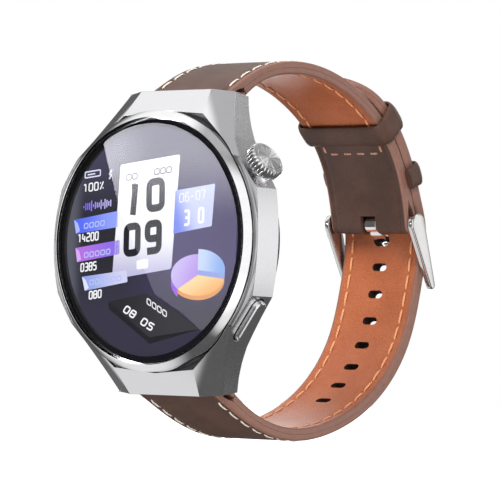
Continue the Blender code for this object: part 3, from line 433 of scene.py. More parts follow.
# ---- mesh helpers
def skin(bm, rings, closed=False):
    """Join rings of points into a tube, with faces over its two ends unless it is closed."""
    loops = [[bm.verts.new(point) for point in ring] for ring in rings]
    count = len(rings[0])
    for i in range(len(rings) if closed else len(rings) - 1):
        here, there = loops[i], loops[(i + 1) % len(rings)]
        for k in range(count):
            after = (k + 1) % count
            bm.faces.new((here[k], here[after], there[after], there[k]))
    if not closed:
        bm.faces.new(loops[0])
        bm.faces.new(list(reversed(loops[-1])))
    return loops


def across(bm, outline, low, high):
    """A straight bar along X from its (y, z) outline."""
    skin(bm, [[(x, y, z) for y, z in outline] for x in (low, high)])


def plate(bm, outline, depth, thick):
    """A flat plate facing -Y from its (x, z) outline."""
    skin(bm, [[(x, y, z) for x, z in outline] for y in (depth, depth + thick)])


def solid(name, bm, material, smooth=40):
    """Turn a bmesh in millimetres into a named object in metres."""
    bmesh.ops.recalc_face_normals(bm, faces=bm.faces)
    bmesh.ops.scale(bm, vec=(MM, MM, MM), verts=bm.verts)
    mesh = bpy.data.meshes.new(name)
    bm.to_mesh(mesh)
    bm.free()
    mesh.materials.append(MATERIALS[material] if isinstance(material, str) else material)
    piece = bpy.data.objects.new(name, mesh)
    bpy.context.scene.collection.objects.link(piece)
    if smooth:
        mesh.shade_smooth()
        mesh.set_sharp_from_angle(angle=radians(smooth))
    return piece


def lofted(name, rings, material, closed=False, smooth=40):
    bm = bmesh.new()
    skin(bm, rings, closed)
    return solid(name, bm, material, smooth)


def turned(name, profile, material):
    """A (radius, depth) profile turned about the Y axis; one that starts on the axis is solid."""
    start = 1 if profile[0][0] == 0 else 0
    stop = len(profile) - 1 if profile[-1][0] == 0 else len(profile)
    angles = [2 * pi * k / ROUND_STEPS for k in range(ROUND_STEPS)]
    rings = [[(r * cos(a), y, r * sin(a)) for a in angles] for r, y in profile[start:stop]]
    return lofted(name, rings, material, start == 0, 30)


def cut(piece, tool):
    """Take one closed mesh away from a piece."""
    modifier = piece.modifiers.new("cut", "BOOLEAN")
    modifier.solver = "EXACT"
    modifier.object = tool
    modifier.material_mode = "TRANSFER"
    bpy.context.view_layer.update()
    mesh = bpy.data.meshes.new_from_object(piece.evaluated_get(bpy.context.evaluated_depsgraph_get()))
    piece.modifiers.clear()
    piece.data = mesh
    mesh.set_sharp_from_angle(angle=radians(40))
    bpy.data.objects.remove(tool)


def stand_in(piece, body, node):
    """Let a finished piece ride on a body in the place of one CAD node."""
    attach(piece, body)
    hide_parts(node)


def turn_to(piece, place, rotation):
    piece.rotation_mode = "QUATERNION"
    piece.rotation_quaternion = rotation
    piece.location = Vector(place) * MM


def arc(centre, radius, start, end, count):
    """Points along an arc of a circle, both ends included."""
    angles = [start + (end - start) * k / count for k in range(count + 1)]
    return [(centre[0] + radius * cos(a), centre[1] + radius * sin(a)) for a in angles]


def disc(centre, radius, count):
    return arc(centre, radius, 0, 2 * pi, count)[:-1]


def pill(half, radius, count):
    """A slot with round ends, whose centres lie half from its middle."""
    return arc((half, 0), radius, -pi / 2, pi / 2, count) + arc((-half, 0), radius, pi / 2, 3 * pi / 2, count)


# ---- strap routes, as in the CAD source
def lengths(points):
    """Length run from the first point to each point."""
    return np.concatenate(([0], np.cumsum(np.hypot(*np.diff(points, axis=0).T))))


def smooth_route(knots, step=0.2):
    """Natural cubic curve through the knots, returned as (length, y, z, heading) arrays."""
    points = np.array(knots, float)
    chord = lengths(points)
    count = len(points)
    system = np.zeros((count, count))
    right = np.zeros((count, 2))
    system[0, 0] = system[-1, -1] = 1
    for i in range(1, count - 1):
        before = chord[i] - chord[i - 1]
        after = chord[i + 1] - chord[i]
        system[i, i - 1:i + 2] = before, 2 * (before + after), after
        right[i] = 6 * ((points[i + 1] - points[i]) / after - (points[i] - points[i - 1]) / before)
    bend = np.linalg.solve(system, right)
    at = np.linspace(0, chord[-1], int(chord[-1] / step) + 1)
    cell = np.clip(np.searchsorted(chord, at, side="right") - 1, 0, count - 2)
    width = (chord[cell + 1] - chord[cell])[:, None]
    a = (chord[cell + 1] - at)[:, None]
    b = (at - chord[cell])[:, None]
    line = (bend[cell] * a ** 3 + bend[cell + 1] * b ** 3) / (6 * width)
    line += (points[cell] / width - bend[cell] * width / 6) * a
    line += (points[cell + 1] / width - bend[cell + 1] * width / 6) * b
    length = lengths(line)
    slope = np.gradient(line, length, axis=0)
    return length, line[:, 0], line[:, 1], np.unwrap(np.arctan2(slope[:, 1], slope[:, 0]))


def heading(route, s):
    return float(np.interp(s, route[0], route[3]))


def along(route, s, offset=0.0):
    """The point at length s along a route, moved sideways to the route's left."""
    length, ys, zs, turns = route
    turn = heading(route, s)
    return (float(np.interp(s, length, ys) - offset * sin(turn)),
            float(np.interp(s, length, zs) + offset * cos(turn)))


def portion(value, low, high):
    return min(1.0, max(0.0, (value - low) / (high - low)))


def half_thickness(s):
    return HALF_THICK + (HALF_THICK_BAR - HALF_THICK) * (1 - portion(s, 0, SWELL_LENGTH)) ** 2


def upper_thickness(s):
    return max(half_thickness(s), half_thickness(UPPER_END - s))


def half_width(s):
    blend = portion(s, 0, TAPER_LENGTH)
    return STRAP_HALF_LUG + (STRAP_HALF - STRAP_HALF_LUG) * blend * (2 - blend)


UPPER = smooth_route(UPPER_ROUTE)
UPPER_END = float(UPPER[0][-1])
BUCKLE_BAR = along(UPPER, UPPER_END)


def tail_knots():
    """The tail lies on the outside of the upper strap, from the buckle bar to its tip."""
    spans = [TAIL_OVERLAP * k / 8 for k in range(9)]
    room = HALVES_GAP + HALF_THICK
    return [along(UPPER, UPPER_END - s, upper_thickness(UPPER_END - s) + room) for s in spans]


LOWER = smooth_route(LOWER_ROUTE + tuple(tail_knots()))
LOWER_END = float(LOWER[0][-1])
HOLE_S = float(LOWER[0][np.argmin(np.hypot(LOWER[1] - HOLE_IN_USE[0], LOWER[2] - HOLE_IN_USE[1]))])


def tail_width(s):
    """The long half narrows to a rounded point at its tip."""
    rise = max(0.0, 1 - (LOWER_END - s) / TAIL_POINT)
    return max(0.5, half_width(s) * sqrt(max(0.0, 1 - rise ** 2.2)))


def stations(start, end):
    count = max(2, round(abs(end - start) / STATION))
    return [start + (end - start) * k / count for k in range(count + 1)]


# ---- leather
def leather_section(half, thick, groove, inset):
    """One section of a strap layer as (across, up, edge) points; up is 0 on its good side.

    The good side has rounded edges and a sunk line under the stitches; edge is 1 on the sides."""
    squeeze = min(1.0, half / SQUEEZE_HALF)
    wide = half / squeeze
    radius = min(EDGE_ROUND, 0.8 * thick)
    points = [(0.0, -thick, 0.0), (wide - 0.03, -thick, 1.0), (wide, 0.03 - thick, 1.0)]
    for k, edge in enumerate((1.0, 1.0, 1.0, 1.0, 0.6)):
        turn = pi / 2 * k / 4
        points.append((wide - radius + radius * cos(turn), radius * sin(turn) - radius, edge))
    line = wide - inset
    for step in (0.75, 0.4, 0.2, 0.0, -0.2, -0.4, -0.75):
        points.append((line + step, -groove * exp(-(step / GROOVE_WIDTH) ** 2), 0.0))
    points += [(line * share, 0.0, 0.0) for share in (0.75, 0.45, 0.15)]
    points = [(x * squeeze, up + 0.04 * cos(pi / 2 * x / wide), edge) for x, up, edge in points]
    return points + [(-x, up, edge) for x, up, edge in reversed(points[1:])]


def strip(node, body, sections, side, inset, material, tool=None):
    """A strap layer from its sections: (point on the good side, half width, thickness).

    side is 1 if the good side is on the left of the run."""
    path = np.array([point for point, half, thick in sections])
    slope = np.gradient(path, axis=0)
    slope /= np.hypot(*slope.T)[:, None]
    rings = []
    marks = []
    for ((y, z), half, thick), (dy, dz), run in zip(sections, slope, lengths(path)):
        groove = GROOVE_DEPTH * (1 + 0.5 * cos(2 * pi * run / STITCH_PITCH))
        section = leather_section(half, thick, groove, inset)
        rings.append([(x, y - dz * up * side, z + dy * up * side) for x, up, edge in section])
        marks.append([edge for x, up, edge in section])
    bm = bmesh.new()
    layer = bm.verts.layers.float.new("edge")
    for loop, values in zip(skin(bm, rings), marks):
        for vertex, value in zip(loop, values):
            vertex[layer] = value
    piece = solid(node + "_leather", bm, material)
    if tool:
        cut(piece, tool)
    stand_in(piece, body, node)


def wrap(centre, turn, side, half):
    """Half a turn of leather round a bar, between the two runs it joins."""
    points = arc(centre, HALF_THICK_BAR, turn - side * pi / 2, turn - side * 3 * pi / 2, 18)[1:-1]
    return [(point, half, OUTER_THICK) for point in points]


def lip(route, side):
    """The short run inside the strap at the case, and the turn round the spring bar."""
    wide = half_width(0)
    inside = [(along(route, s, -side * half_thickness(s)), wide, OUTER_THICK) for s in stations(LIP_LENGTH, 0)]
    return inside + wrap(along(route, 0), heading(route, 0), side, wide)


def outer_thickness(half_thick, s, end):
    """Outer leather and filler down to the seam, thinning to bare leather near a bar."""
    share = portion(min(s, end - s), 2.2, 5.0)
    return OUTER_THICK + (half_thick - SEAM / 2 - OUTER_THICK) * share * share * (3 - 2 * share)


def upper_outer():
    """Wraps the spring bar, runs outside to the buckle bar and folds back inside as a flap."""
    def thick(s):
        return outer_thickness(upper_thickness(s), s, UPPER_END)

    sections = lip(UPPER, 1)
    sections += [(along(UPPER, s, upper_thickness(s)), half_width(s), thick(s))
                 for s in stations(0, UPPER_END)]
    sections += wrap(BUCKLE_BAR, heading(UPPER, UPPER_END) + pi, 1, STRAP_HALF)
    sections += [(along(UPPER, s, -upper_thickness(s)), STRAP_HALF, thick(s))
                 for s in stations(UPPER_END, UPPER_END - FLAP_LENGTH)]
    y, z = BUCKLE_BAR
    slot = bmesh.new()
    across(slot, [(y - 3.0, z + 1.4), (y + 1.5, z + 1.4), (y + 3.0, z - 3.0), (y - 3.0, z - 3.0)],
           -TONGUE_SLOT_HALF, TONGUE_SLOT_HALF)
    strip("strap_upper_outer", "strap_buckle_half", sections, 1, STITCH_INSET, "brown",
          solid("slot", slot, "brown", None))


def upper_lining():
    sections = [(along(UPPER, s, -upper_thickness(s)), half_width(s), upper_thickness(s) - SEAM / 2)
                for s in stations(LIP_LENGTH + 0.3, UPPER_END - FLAP_LENGTH - 0.2)]
    strip("strap_upper_lining", "strap_buckle_half", sections, -1, LINING_INSET, "tan")


def hole_tool():
    """All the punched holes as one mesh, so that one cut makes them and gives their walls its dark material,
    painted shade inside the holes.
    """
    bm = bmesh.new()
    for k in range(-HOLES_BEFORE, HOLES_AFTER + 1):
        size, wide = HOLE_SIZE if k else HOLE_IN_USE_SIZE
        oval = pill((size - wide) / 2, wide / 2, 10)
        s = HOLE_S + k * HOLE_PITCH
        skin(bm, [[(u, *along(LOWER, s + v, offset)) for u, v in oval] for offset in (-3, 3)])
    return solid("punch", bm, "punched", None)


def tail_stations(start):
    """Sections of the long half, closer together along its point."""
    tip = [LOWER_END - TAIL_POINT * (1 - sin(pi / 2 * k / 24)) for k in range(1, 25)]
    return stations(start, LOWER_END - TAIL_POINT) + tip


def tip_thickness(thick, s):
    """The last half millimetre is rounded off."""
    left = max(0.0, LOWER_END - s)
    return thick * max(0.45, sqrt(1 - (1 - min(1.0, left / 0.6)) ** 2))


def lower_outer():
    """Wraps its spring bar and runs outside to the tip."""
    sections = lip(LOWER, -1)
    sections += [(along(LOWER, s, -half_thickness(s)), tail_width(s),
                  tip_thickness(outer_thickness(half_thickness(s), s, 2 * LOWER_END), s))
                 for s in tail_stations(0)]
    strip("strap_lower_outer", "strap_long_half", sections, -1, STITCH_INSET, "brown", hole_tool())


def lower_lining():
    sections = [(along(LOWER, s, half_thickness(s)), tail_width(s),
                 tip_thickness(half_thickness(s) - SEAM / 2, s)) for s in tail_stations(LIP_LENGTH + 0.3)]
    strip("strap_lower_lining", "strap_long_half", sections, 1, LINING_INSET, "tan", hole_tool())


# ---- stitching
def stitch(bm, route, thickness, side, at, sink, steps=7, sides=8):
    """One stitch; at(share) gives its (x, s), and side (+1 or -1) the face of the strap it lies on."""
    spots = []
    for k in range(steps):
        x, s = at(k / (steps - 1))
        turn = heading(route, s)
        out = Vector((0, -sin(turn), cos(turn))) * side
        lift = THREAD_RADIUS * (0.6 - 1.1 * abs(2 * k / (steps - 1) - 1) ** 5)
        spots.append((Vector((x, *along(route, s, side * thickness(s)))) + out * (lift - sink), out))
    rings = []
    for k, (point, out) in enumerate(spots):
        ahead = spots[min(k + 1, steps - 1)][0] - spots[max(k - 1, 0)][0]
        aside = ahead.cross(out).normalized()
        radius = THREAD_RADIUS * (0.55 + 0.45 * sin(pi * k / (steps - 1)) ** 0.5)
        rings.append([point + radius * (THREAD_FLAT[0] * cos(a) * aside + THREAD_FLAT[1] * sin(a) * out)
                      for a in (2 * pi * j / sides for j in range(sides))])
    skin(bm, rings)


def stitch_rows(name, look, body, route, width, thickness, side, start, end):
    """A row of stitches near each edge of one face of the strap."""
    inset = STITCH_INSET if look == "cream" else LINING_INSET
    count = int((end - start) / STITCH_PITCH) + 1
    bm = bmesh.new()
    for sign in (1, -1):
        for k in range(count):
            first = start + (end - start) * k / count

            def at(share, first=first, sign=sign):
                s = first + STITCH_LENGTH * share
                return sign * (width(s) - inset), s

            stitch(bm, route, thickness, side, at, GROOVE_DEPTH * 0.6)
    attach(solid(name, bm, look, 60), body)


def flap_stitches():
    """The open box of stitches that holds the folded flap."""
    lines = [((sign * FLAP_BOX_HALF, FLAP_ROW_S - 1.8), (0, 1.7)) for sign in (1, -1)]
    lines += [(((k - 2) * FLAP_PITCH + 0.45, FLAP_ROW_S), (2.1, 0)) for k in range(4)]
    bm = bmesh.new()
    for (x, s), (dx, ds) in lines:
        stitch(bm, UPPER, upper_thickness, -1,
               lambda share: (x + dx * share, s + ds * share), 0.1)
    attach(solid("stitches_flap", bm, "rose", 60), "strap_buckle_half")


def stitches():
    """Cream rows outside and tan rows on the lining of both halves, and the flap's box."""
    stitch_rows("stitches_upper_outside", "cream", "strap_buckle_half", UPPER, half_width, upper_thickness, 1,
                STITCH_START, UPPER_END - 4.0)
    stitch_rows("stitches_upper_lining", "orange", "strap_buckle_half", UPPER, half_width, upper_thickness, -1,
                LINING_START, UPPER_END - FLAP_LENGTH - 1.5)
    stitch_rows("stitches_lower_outside", "cream", "strap_long_half", LOWER, tail_width, half_thickness, -1,
                STITCH_START, LOWER_END - 5.0)
    stitch_rows("stitches_lower_lining", "orange", "strap_long_half", LOWER, tail_width, half_thickness, 1,
                LINING_START, LOWER_END - 6.0)
    flap_stitches()


# ---- keepers
def loop_section(half, low, high, corner):
    """A rounded rectangle in (x, offset), from low to high across the strap."""
    points = []
    for sx, sy, start in ((1, 1, 0), (-1, 1, 90), (-1, -1, 180), (1, -1, 270)):
        centre = (sx * (half - corner), (high if sy > 0 else low) - sy * corner)
        points += arc(centre, corner, radians(start), radians(start + 90), 8)
    return points


def band_rings(inner, outer, s, length, lift=lambda d: 0.0, steps=24):
    """Sections of a leather band: a rounded slab between matching inner and outer points."""
    rings = []
    for (ix, io), (ox, oo) in zip(inner, outer):
        ring = []
        for k in range(steps):
            turn = 2 * pi * k / steps
            c, q = cos(turn), sin(turn)
            d = length / 2 * abs(c) ** 0.6 * (1 if c > 0 else -1)
            share = 0.5 + 0.5 * abs(q) ** 0.6 * (1 if q > 0 else -1) + KEEPER_BELLY * max(0.0, q) ** 3
            ring.append((ix + (ox - ix) * share, *along(UPPER, s + d, io + (oo - io) * share + lift(d))))
        rings.append(ring)
    return rings


def keeper_room(s):
    """Half width inside a keeper, and the height of its inside above the route at s."""
    return STRAP_HALF + KEEPER_ROOM, upper_thickness(s) + HALVES_GAP + 2 * HALF_THICK + KEEPER_ROOM


def free_keeper():
    half, high = keeper_room(FREE_KEEPER_S)
    low = -upper_thickness(FREE_KEEPER_S) - KEEPER_ROOM
    inner = loop_section(half, low, high, KEEPER_CORNER)
    outer = loop_section(half + KEEPER_THICK, low - KEEPER_THICK, high + KEEPER_THICK, KEEPER_ROUND)
    rings = band_rings(inner, outer, FREE_KEEPER_S, KEEPER_LENGTH)
    piece = lofted("keeper_free_leather", rings, "brown", closed=True)
    stand_in(piece, "keeper", "keeper_free")


def fixed_keeper():
    """Arch sewn to the edges of the buckle half, over the tail."""
    half, top = keeper_room(FIXED_KEEPER_S)
    level = upper_thickness(FIXED_KEEPER_S)
    lines = []
    for grow, corner in ((0, KEEPER_CORNER), (KEEPER_THICK, KEEPER_ROUND)):
        centre = (half + grow - corner, top + grow - corner)
        line = [(half + grow, level - OUTER_THICK)] + arc(centre, corner, 0, pi / 2, 8)
        lines.append(line + [(-x, o) for x, o in reversed(line)])
    rings = band_rings(*lines, FIXED_KEEPER_S, FIXED_KEEPER_LENGTH,
                       lambda d: upper_thickness(FIXED_KEEPER_S + d) - level)
    piece = lofted("keeper_fixed_leather", rings, "brown")
    stand_in(piece, "strap_buckle_half", "keeper_fixed")


# ---- bezel, glass, crown, buckle and button
def bezel():
    profile = [(BEZEL_INNER, 0.08), (BEZEL_INNER + 0.07, 0.02), (BEZEL_INNER + 0.16, 0.09),
               (BEZEL_OUTER - 0.08, BEZEL_CHAMFER - 0.1), (BEZEL_OUTER, BEZEL_CHAMFER),
               (BEZEL_OUTER, BEZEL_BACK), (BEZEL_LEDGE, BEZEL_BACK), (BEZEL_LEDGE, LEDGE_Y),
               (BEZEL_INNER, LEDGE_Y)]
    stand_in(turned("bezel_ring", profile, "polished_steel"), "case", "bezel")


def glass():
    """The cover glass with its rounded rim, and the border printed under it."""
    profile = [(0, 0), (19.9, 0), (20.35, 0.02), (20.6, 0.09), (20.71, 0.22), (GLASS_RADIUS, 0.4),
               (GLASS_RADIUS, GLASS_THICK), (0, GLASS_THICK)]
    stand_in(turned("glass_cover", profile, "glass"), "case", "cover_glass")
    rings = []
    for k in range(ROUND_STEPS):
        c, q = cos(2 * pi * k / ROUND_STEPS), sin(2 * pi * k / ROUND_STEPS)
        near = (BORDER[0] * c + BORDER_SHIFT, BORDER[0] * q)
        far = (BORDER[1] * c, BORDER[1] * q)
        rings.append([(x, y, z) for (x, z), y in ((near, 1.05), (far, 1.05), (far, 1.09), (near, 1.09))])
    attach(lofted("glass_border", rings, "display_black", closed=True), "case")


def crown():
    """Knurled knob with a chamfer, a turned groove and a brushed face."""
    tall = CROWN_TOP - CROWN_FOOT
    levels = [(0.9, tall, 0), (0.97, tall - 0.1, 0.6), (1, tall - 0.3, 1), (1, 0.55, 1), (0.97, 0.32, 0.7),
              (0.91, 0.12, 0), (0.86, 0.02, 0), (0.8, 0, 0), (0.76, 0, 0), (0.745, 0.07, 0), (0.71, 0.07, 0),
              (0.695, 0, 0), (0.35, 0, 0), (0.02, 0, 0)]   # share of the radius, drop from the top, notch
    angles = [2 * pi * k / (CROWN_TEETH * CROWN_STEPS) for k in range(CROWN_TEETH * CROWN_STEPS)]
    rings = []
    for share, drop, notch in levels:
        radii = [CROWN_RADIUS * share - CROWN_NOTCH * notch * (0.5 - 0.5 * cos(CROWN_TEETH * a)) ** 2
                 for a in angles]
        rings.append([(r * cos(a), CROWN_TOP - drop, r * sin(a)) for r, a in zip(radii, angles)])
    piece = lofted("crown_knurled", rings, "polished_steel", smooth=35)
    piece.data.materials.append(MATERIALS["crown"])
    for face in piece.data.polygons:
        face.material_index = int(face.normal.y > 0.8)
    turn_to(piece, CROWN_AT, Vector((0, 1, 0)).rotation_difference(Vector(CROWN_AXIS)))
    stand_in(piece, "crown", "crown_knob")


def cheek_outline(inset):
    """Teardrop side plate: a round head at the bar, tapering to the crossbar."""
    by, bz = BUCKLE_BAR
    cy, cz = CROSSBAR
    head, tip = CHEEK_HEAD - inset, CROSSBAR_RADIUS - inset
    lean = atan2(cz - bz, cy - by)
    spread = asin((head - tip) / hypot(cy - by, cz - bz))
    around = arc(BUCKLE_BAR, head, lean + pi / 2 - spread, lean + 3 * pi / 2 + spread, 28)
    return around + arc(CROSSBAR, tip, lean - pi / 2 + spread, lean + pi / 2 - spread, 14)


def buckle():
    """Teardrop cheeks with rounded rims, joined by the crossbar; blind holes take the buckle bar."""
    levels = [(0, 0.14), (0.05, 0.04), (0.14, 0), (CHEEK_THICK - 0.28, 0), (CHEEK_THICK - 0.16, 0.03),
              (CHEEK_THICK - 0.05, 0.12), (CHEEK_THICK, 0.27)]
    bm = bmesh.new()
    for sign in (1, -1):
        skin(bm, [[(sign * (CHEEK_INNER + rise), y, z) for y, z in cheek_outline(inset)]
                  for rise, inset in levels])
    across(bm, disc(CROSSBAR, CROSSBAR_RADIUS - 0.06, 28), -CHEEK_INNER - 0.2, CHEEK_INNER + 0.2)
    piece = solid("buckle_frame_rounded", bm, "buckle")
    bore = bmesh.new()
    end = CHEEK_INNER + CHEEK_THICK - 0.22
    across(bore, disc(BUCKLE_BAR, BAR_RADIUS + 0.05, 28), -end, end)
    cut(piece, solid("bore", bore, "buckle", None))
    stand_in(piece, "buckle", "buckle_frame")


def button():
    """Pill with a bright bevelled edge, lying along the lower flank."""
    levels = [(0, BUTTON_TOP + 0.5), (0, 0.3), (0.04, 0.2), (0.15, 0.08), (0.22, 0.02), (0.3, 0), (0.42, 0)]
    half = (BUTTON_LENGTH - BUTTON_WIDTH) / 2
    rings = [[(u, BUTTON_TOP - drop, v) for u, v in pill(half, BUTTON_WIDTH / 2 - inset, 24)]
             for inset, drop in levels]
    piece = lofted("side_button_bevelled", rings, "button", smooth=25)
    out = Vector((CROWN_AXIS[0], 0, -CROWN_AXIS[2]))
    run = Vector((-out.z, 0, out.x))
    turn_to(piece, BUTTON_AT, Matrix((run, out, run.cross(out))).transposed().to_quaternion())
    stand_in(piece, "side_button", "side_button")


# ---- dial picture
STROKES = {
    "0": [[(0, 0), (1, 0), (1, 2), (0, 2), (0, 0)]],
    "1": [[(0.1, 1.75), (0.6, 2), (0.6, 0)]],
    "2": [[(0, 2), (1, 2), (1, 1), (0, 1), (0, 0), (1, 0)]],
    "3": [[(0, 2), (1, 2), (1, 0), (0, 0)], [(0.2, 1), (1, 1)]],
    "4": [[(0.1, 2), (0, 0.7), (1, 0.7)], [(0.8, 1.4), (0.8, 0)]],
    "5": [[(1, 2), (0, 2), (0, 1.1), (1, 1.1), (1, 0), (0, 0)]],
    "6": [[(1, 2), (0, 2), (0, 0), (1, 0), (1, 1.1), (0, 1.1)]],
    "7": [[(0, 2), (1, 2), (0.4, 0)]],
    "8": [[(0, 0), (1, 0), (1, 2), (0, 2), (0, 0)], [(0, 1.05), (1, 1.05)]],
    "9": [[(0, 0), (1, 0), (1, 2), (0, 2), (0, 0.9), (1, 0.9)]],
    "-": [[(0, 1), (1, 1)]],
    "%": [[(0.1, 0), (0.9, 2)], [(0, 1.7), (0.25, 1.7)], [(0.75, 0.3), (1, 0.3)]],
}
PLATE = 0.03                 # thickness of each part of the picture
DEEP, LOW, MID, HIGH, TOP = 1.26, 1.22, 1.18, 1.14, 1.10   # depths behind the glass
INK, PAPER, WHITE, PURE = (8, 6, 18), (250, 250, 255), (232, 234, 255), (255, 255, 255)
PIE_CENTRE = (10.45, -5.7)
PIE_RADII = (5.9, 3.5)


def rounded_line(points, radius, steps=5):
    """A line of (x, z) points with its corners rounded; one that ends where it starts is a loop."""
    closed = points[0] == points[-1] and len(points) > 2
    ring = [Vector(point) for point in (points[:-1] if closed else points)]
    result = []
    for i, here in enumerate(ring):
        if not closed and i in (0, len(ring) - 1):
            result.append(here)
            continue
        before, after = ring[i - 1], ring[(i + 1) % len(ring)]
        start = here + (before - here).normalized() * min(radius, (before - here).length / 2)
        end = here + (after - here).normalized() * min(radius, (after - here).length / 2)
        for t in (k / steps for k in range(steps + 1)):
            result.append(start * (1 - t) ** 2 + here * 2 * t * (1 - t) + end * t ** 2)
    return result, closed


def stroke(bm, points, weight, depth, radius):
    """A line of even weight as a thin raised ribbon at a depth behind the glass."""
    line, closed = rounded_line(points, radius)
    rings = []
    for k, here in enumerate(line):
        before = line[k - 1] if closed or k else here
        after = line[(k + 1) % len(line)] if closed or k < len(line) - 1 else here
        run = (after - before).normalized()
        side = Vector((-run.y, run.x)) * weight / 2
        a, b, back = here + side, here - side, depth + PLATE
        rings.append([(a.x, depth, a.y), (b.x, depth, b.y), (b.x, back, b.y), (a.x, back, a.y)])
    skin(bm, rings, closed)


def dial_piece(name, look, bm):
    """A lit piece of the picture; look holds what lit() needs for its colours."""
    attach(solid(name, bm, lit(name, *look), None), "case")


def write(name, look, depth, *texts):
    """Runs of figures: text, lower left corner, width of all, height of one, and weight."""
    bm = bmesh.new()
    for text, corner, wide, up, weight in texts:
        pitch = Vector(wide) / (len(text) - 0.34)
        for i, letter in enumerate(text):
            for line in STROKES[letter]:
                at = [tuple(Vector(corner) + pitch * (i + 0.66 * u) + Vector(up) * (v / 2)) for u, v in line]
                stroke(bm, at, weight, depth, pitch.length * 0.22)
    dial_piece(name, look, bm)


def card(name, look, corners, radius, depth):
    """A flat panel with rounded corners, from its corners in order."""
    bm = bmesh.new()
    plate(bm, rounded_line([*corners, corners[0]], radius, 6)[0], depth, PLATE)
    dial_piece(name, look, bm)


def block(name, look, edge, corners, depth):
    """A bar drawn like a low box: its panel and a paler end face at its left."""
    card(name, look, corners, 0.25, depth)
    (ax, az), (dx, dz) = corners[0], corners[3]
    card(name + "_end", [edge], [(ax, az), (ax + 0.9, az - 0.55), (dx + 0.9, dz + 0.5), (dx, dz)], 0.1,
         depth - 0.02)


def lines(name, look, depth, weight, paths, radius=None):
    """Thin lines as one piece."""
    bm = bmesh.new()
    for path in paths:
        stroke(bm, path, weight, depth, radius or weight)
    dial_piece(name, look, bm)


def tokens(name, look, depth, wide, height, corners):
    """Small empty boxes, from their lower left corners, where the picture would carry words."""
    dx, dz = wide
    boxes = [[(x, z), (x + dx, z + dz), (x + dx, z + dz + height), (x, z + height), (x, z)]
             for x, z in corners]
    lines(name, look, depth, 0.2, boxes, 0.25)


def dial_cards():
    """The panels of the picture, each with its own fade."""
    card("dial_card_time", ((192, 190, 228), (253, 254, 255), (0, -7), (0, 2)),
         [(-7.8, 13.0), (5.5, 14.6), (4.5, -4.7), (-8.8, -6.6)], 0.5, LOW)
    card("dial_card_date", ((116, 138, 238), (206, 214, 250), (4.5, 4), (9, 6)),
         [(4.8, 8.5), (13.5, 9.6), (13.1, 2.5), (4.7, 1.2)], 0.15, MID)
    card("dial_card_sleep", ((24, 23, 26), (52, 51, 54), (-8, -11), (6, -14)),
         [(-9.4, -10.4), (-0.8, -8.9), (11.4, -14.7), (0.1, -16.3)], 0.5, LOW)
    card("dial_card_sleep_rim", ((10, 9, 12),),
         [(-9.4, -10.4), (0.1, -16.3), (11.4, -14.7), (0.3, -17.4), (-9.3, -11.6)], 0.2, LOW)
    block("dial_bar_steps", ((84, 108, 250), (150, 166, 255), (-17, 2), (-8, 4)), (176, 190, 255),
          [(-18.1, 3.6), (-8.1, 5.1), (-7.95, 2.35), (-17.5, 1.2)], LOW)
    block("dial_bar_energy", ((186, 112, 232), (142, 110, 236), (-17, -3), (-8, -1)), (222, 176, 250),
          [(-17.5, -1.25), (-7.4, 0.15), (-7.3, -2.25), (-17.0, -3.7)], LOW)
    block("dial_bar_pulse", ((150, 168, 236), (214, 216, 246), (-15, -8), (-6, -6)), (226, 234, 255),
          [(-15.7, -6.2), (-5.5, -5.0), (-5.2, -7.0), (-14.9, -8.6)], MID)
    card("dial_mark_time", (PURE,), [(-3.3, -3.3), (-0.7, -3.0), (-0.6, -4.6), (-3.2, -4.9)], 0.4, HIGH)


def dial_figures():
    """Time, date and the small counts."""
    write("dial_time", (INK,), HIGH,
          ("0", (-0.95, 5.4), (2.9, 0.35), (-0.15, 4.5), 1.25),
          ("0", (-5.75, -2.2), (2.6, 0.3), (-0.1, 4.5), 1.25),
          ("9", (-1.0, -1.8), (2.6, 0.3), (-0.1, 4.6), 1.25))
    lines("dial_time_one", (INK,), HIGH, 1.25, [[(-4.2, 9.7), (-4.55, 4.4)], [(-5.0, 9.05), (-4.1, 9.2)]])
    write("dial_date", (PAPER,), TOP,
          ("3", (7.1, 2.7), (1.0, 0.1), (-0.05, 2.3), 0.5), ("0", (10.3, 3.1), (0.95, 0.1), (-0.05, 2.3), 0.5))
    write("dial_counts", (PAPER,), HIGH,
          ("100%", (-16.1, 8.4), (4.6, 0.5), (0, 1.3), 0.24),
          ("14200", (-16.9, -0.3), (4.6, 0.5), (0, 1.35), 0.25),
          ("0385", (-16.0, -5.3), (3.5, 0.4), (0, 1.3), 0.25),
          ("080", (-13.8, -10.0), (2.7, 0.35), (0, 1.25), 0.25))
    write("dial_sleep_time", (PAPER,), HIGH,
          ("08", (-5.9, -12.0), (2.3, -1.1), (0.8, 0.95), 0.28),
          ("05", (-1.9, -14.0), (2.4, -1.15), (0.8, 0.95), 0.28))
    write("dial_date_small", ((240, 240, 255),), TOP, ("06-07", (5.9, 6.5), (5.6, 0.65), (0, 1.4), 0.2))


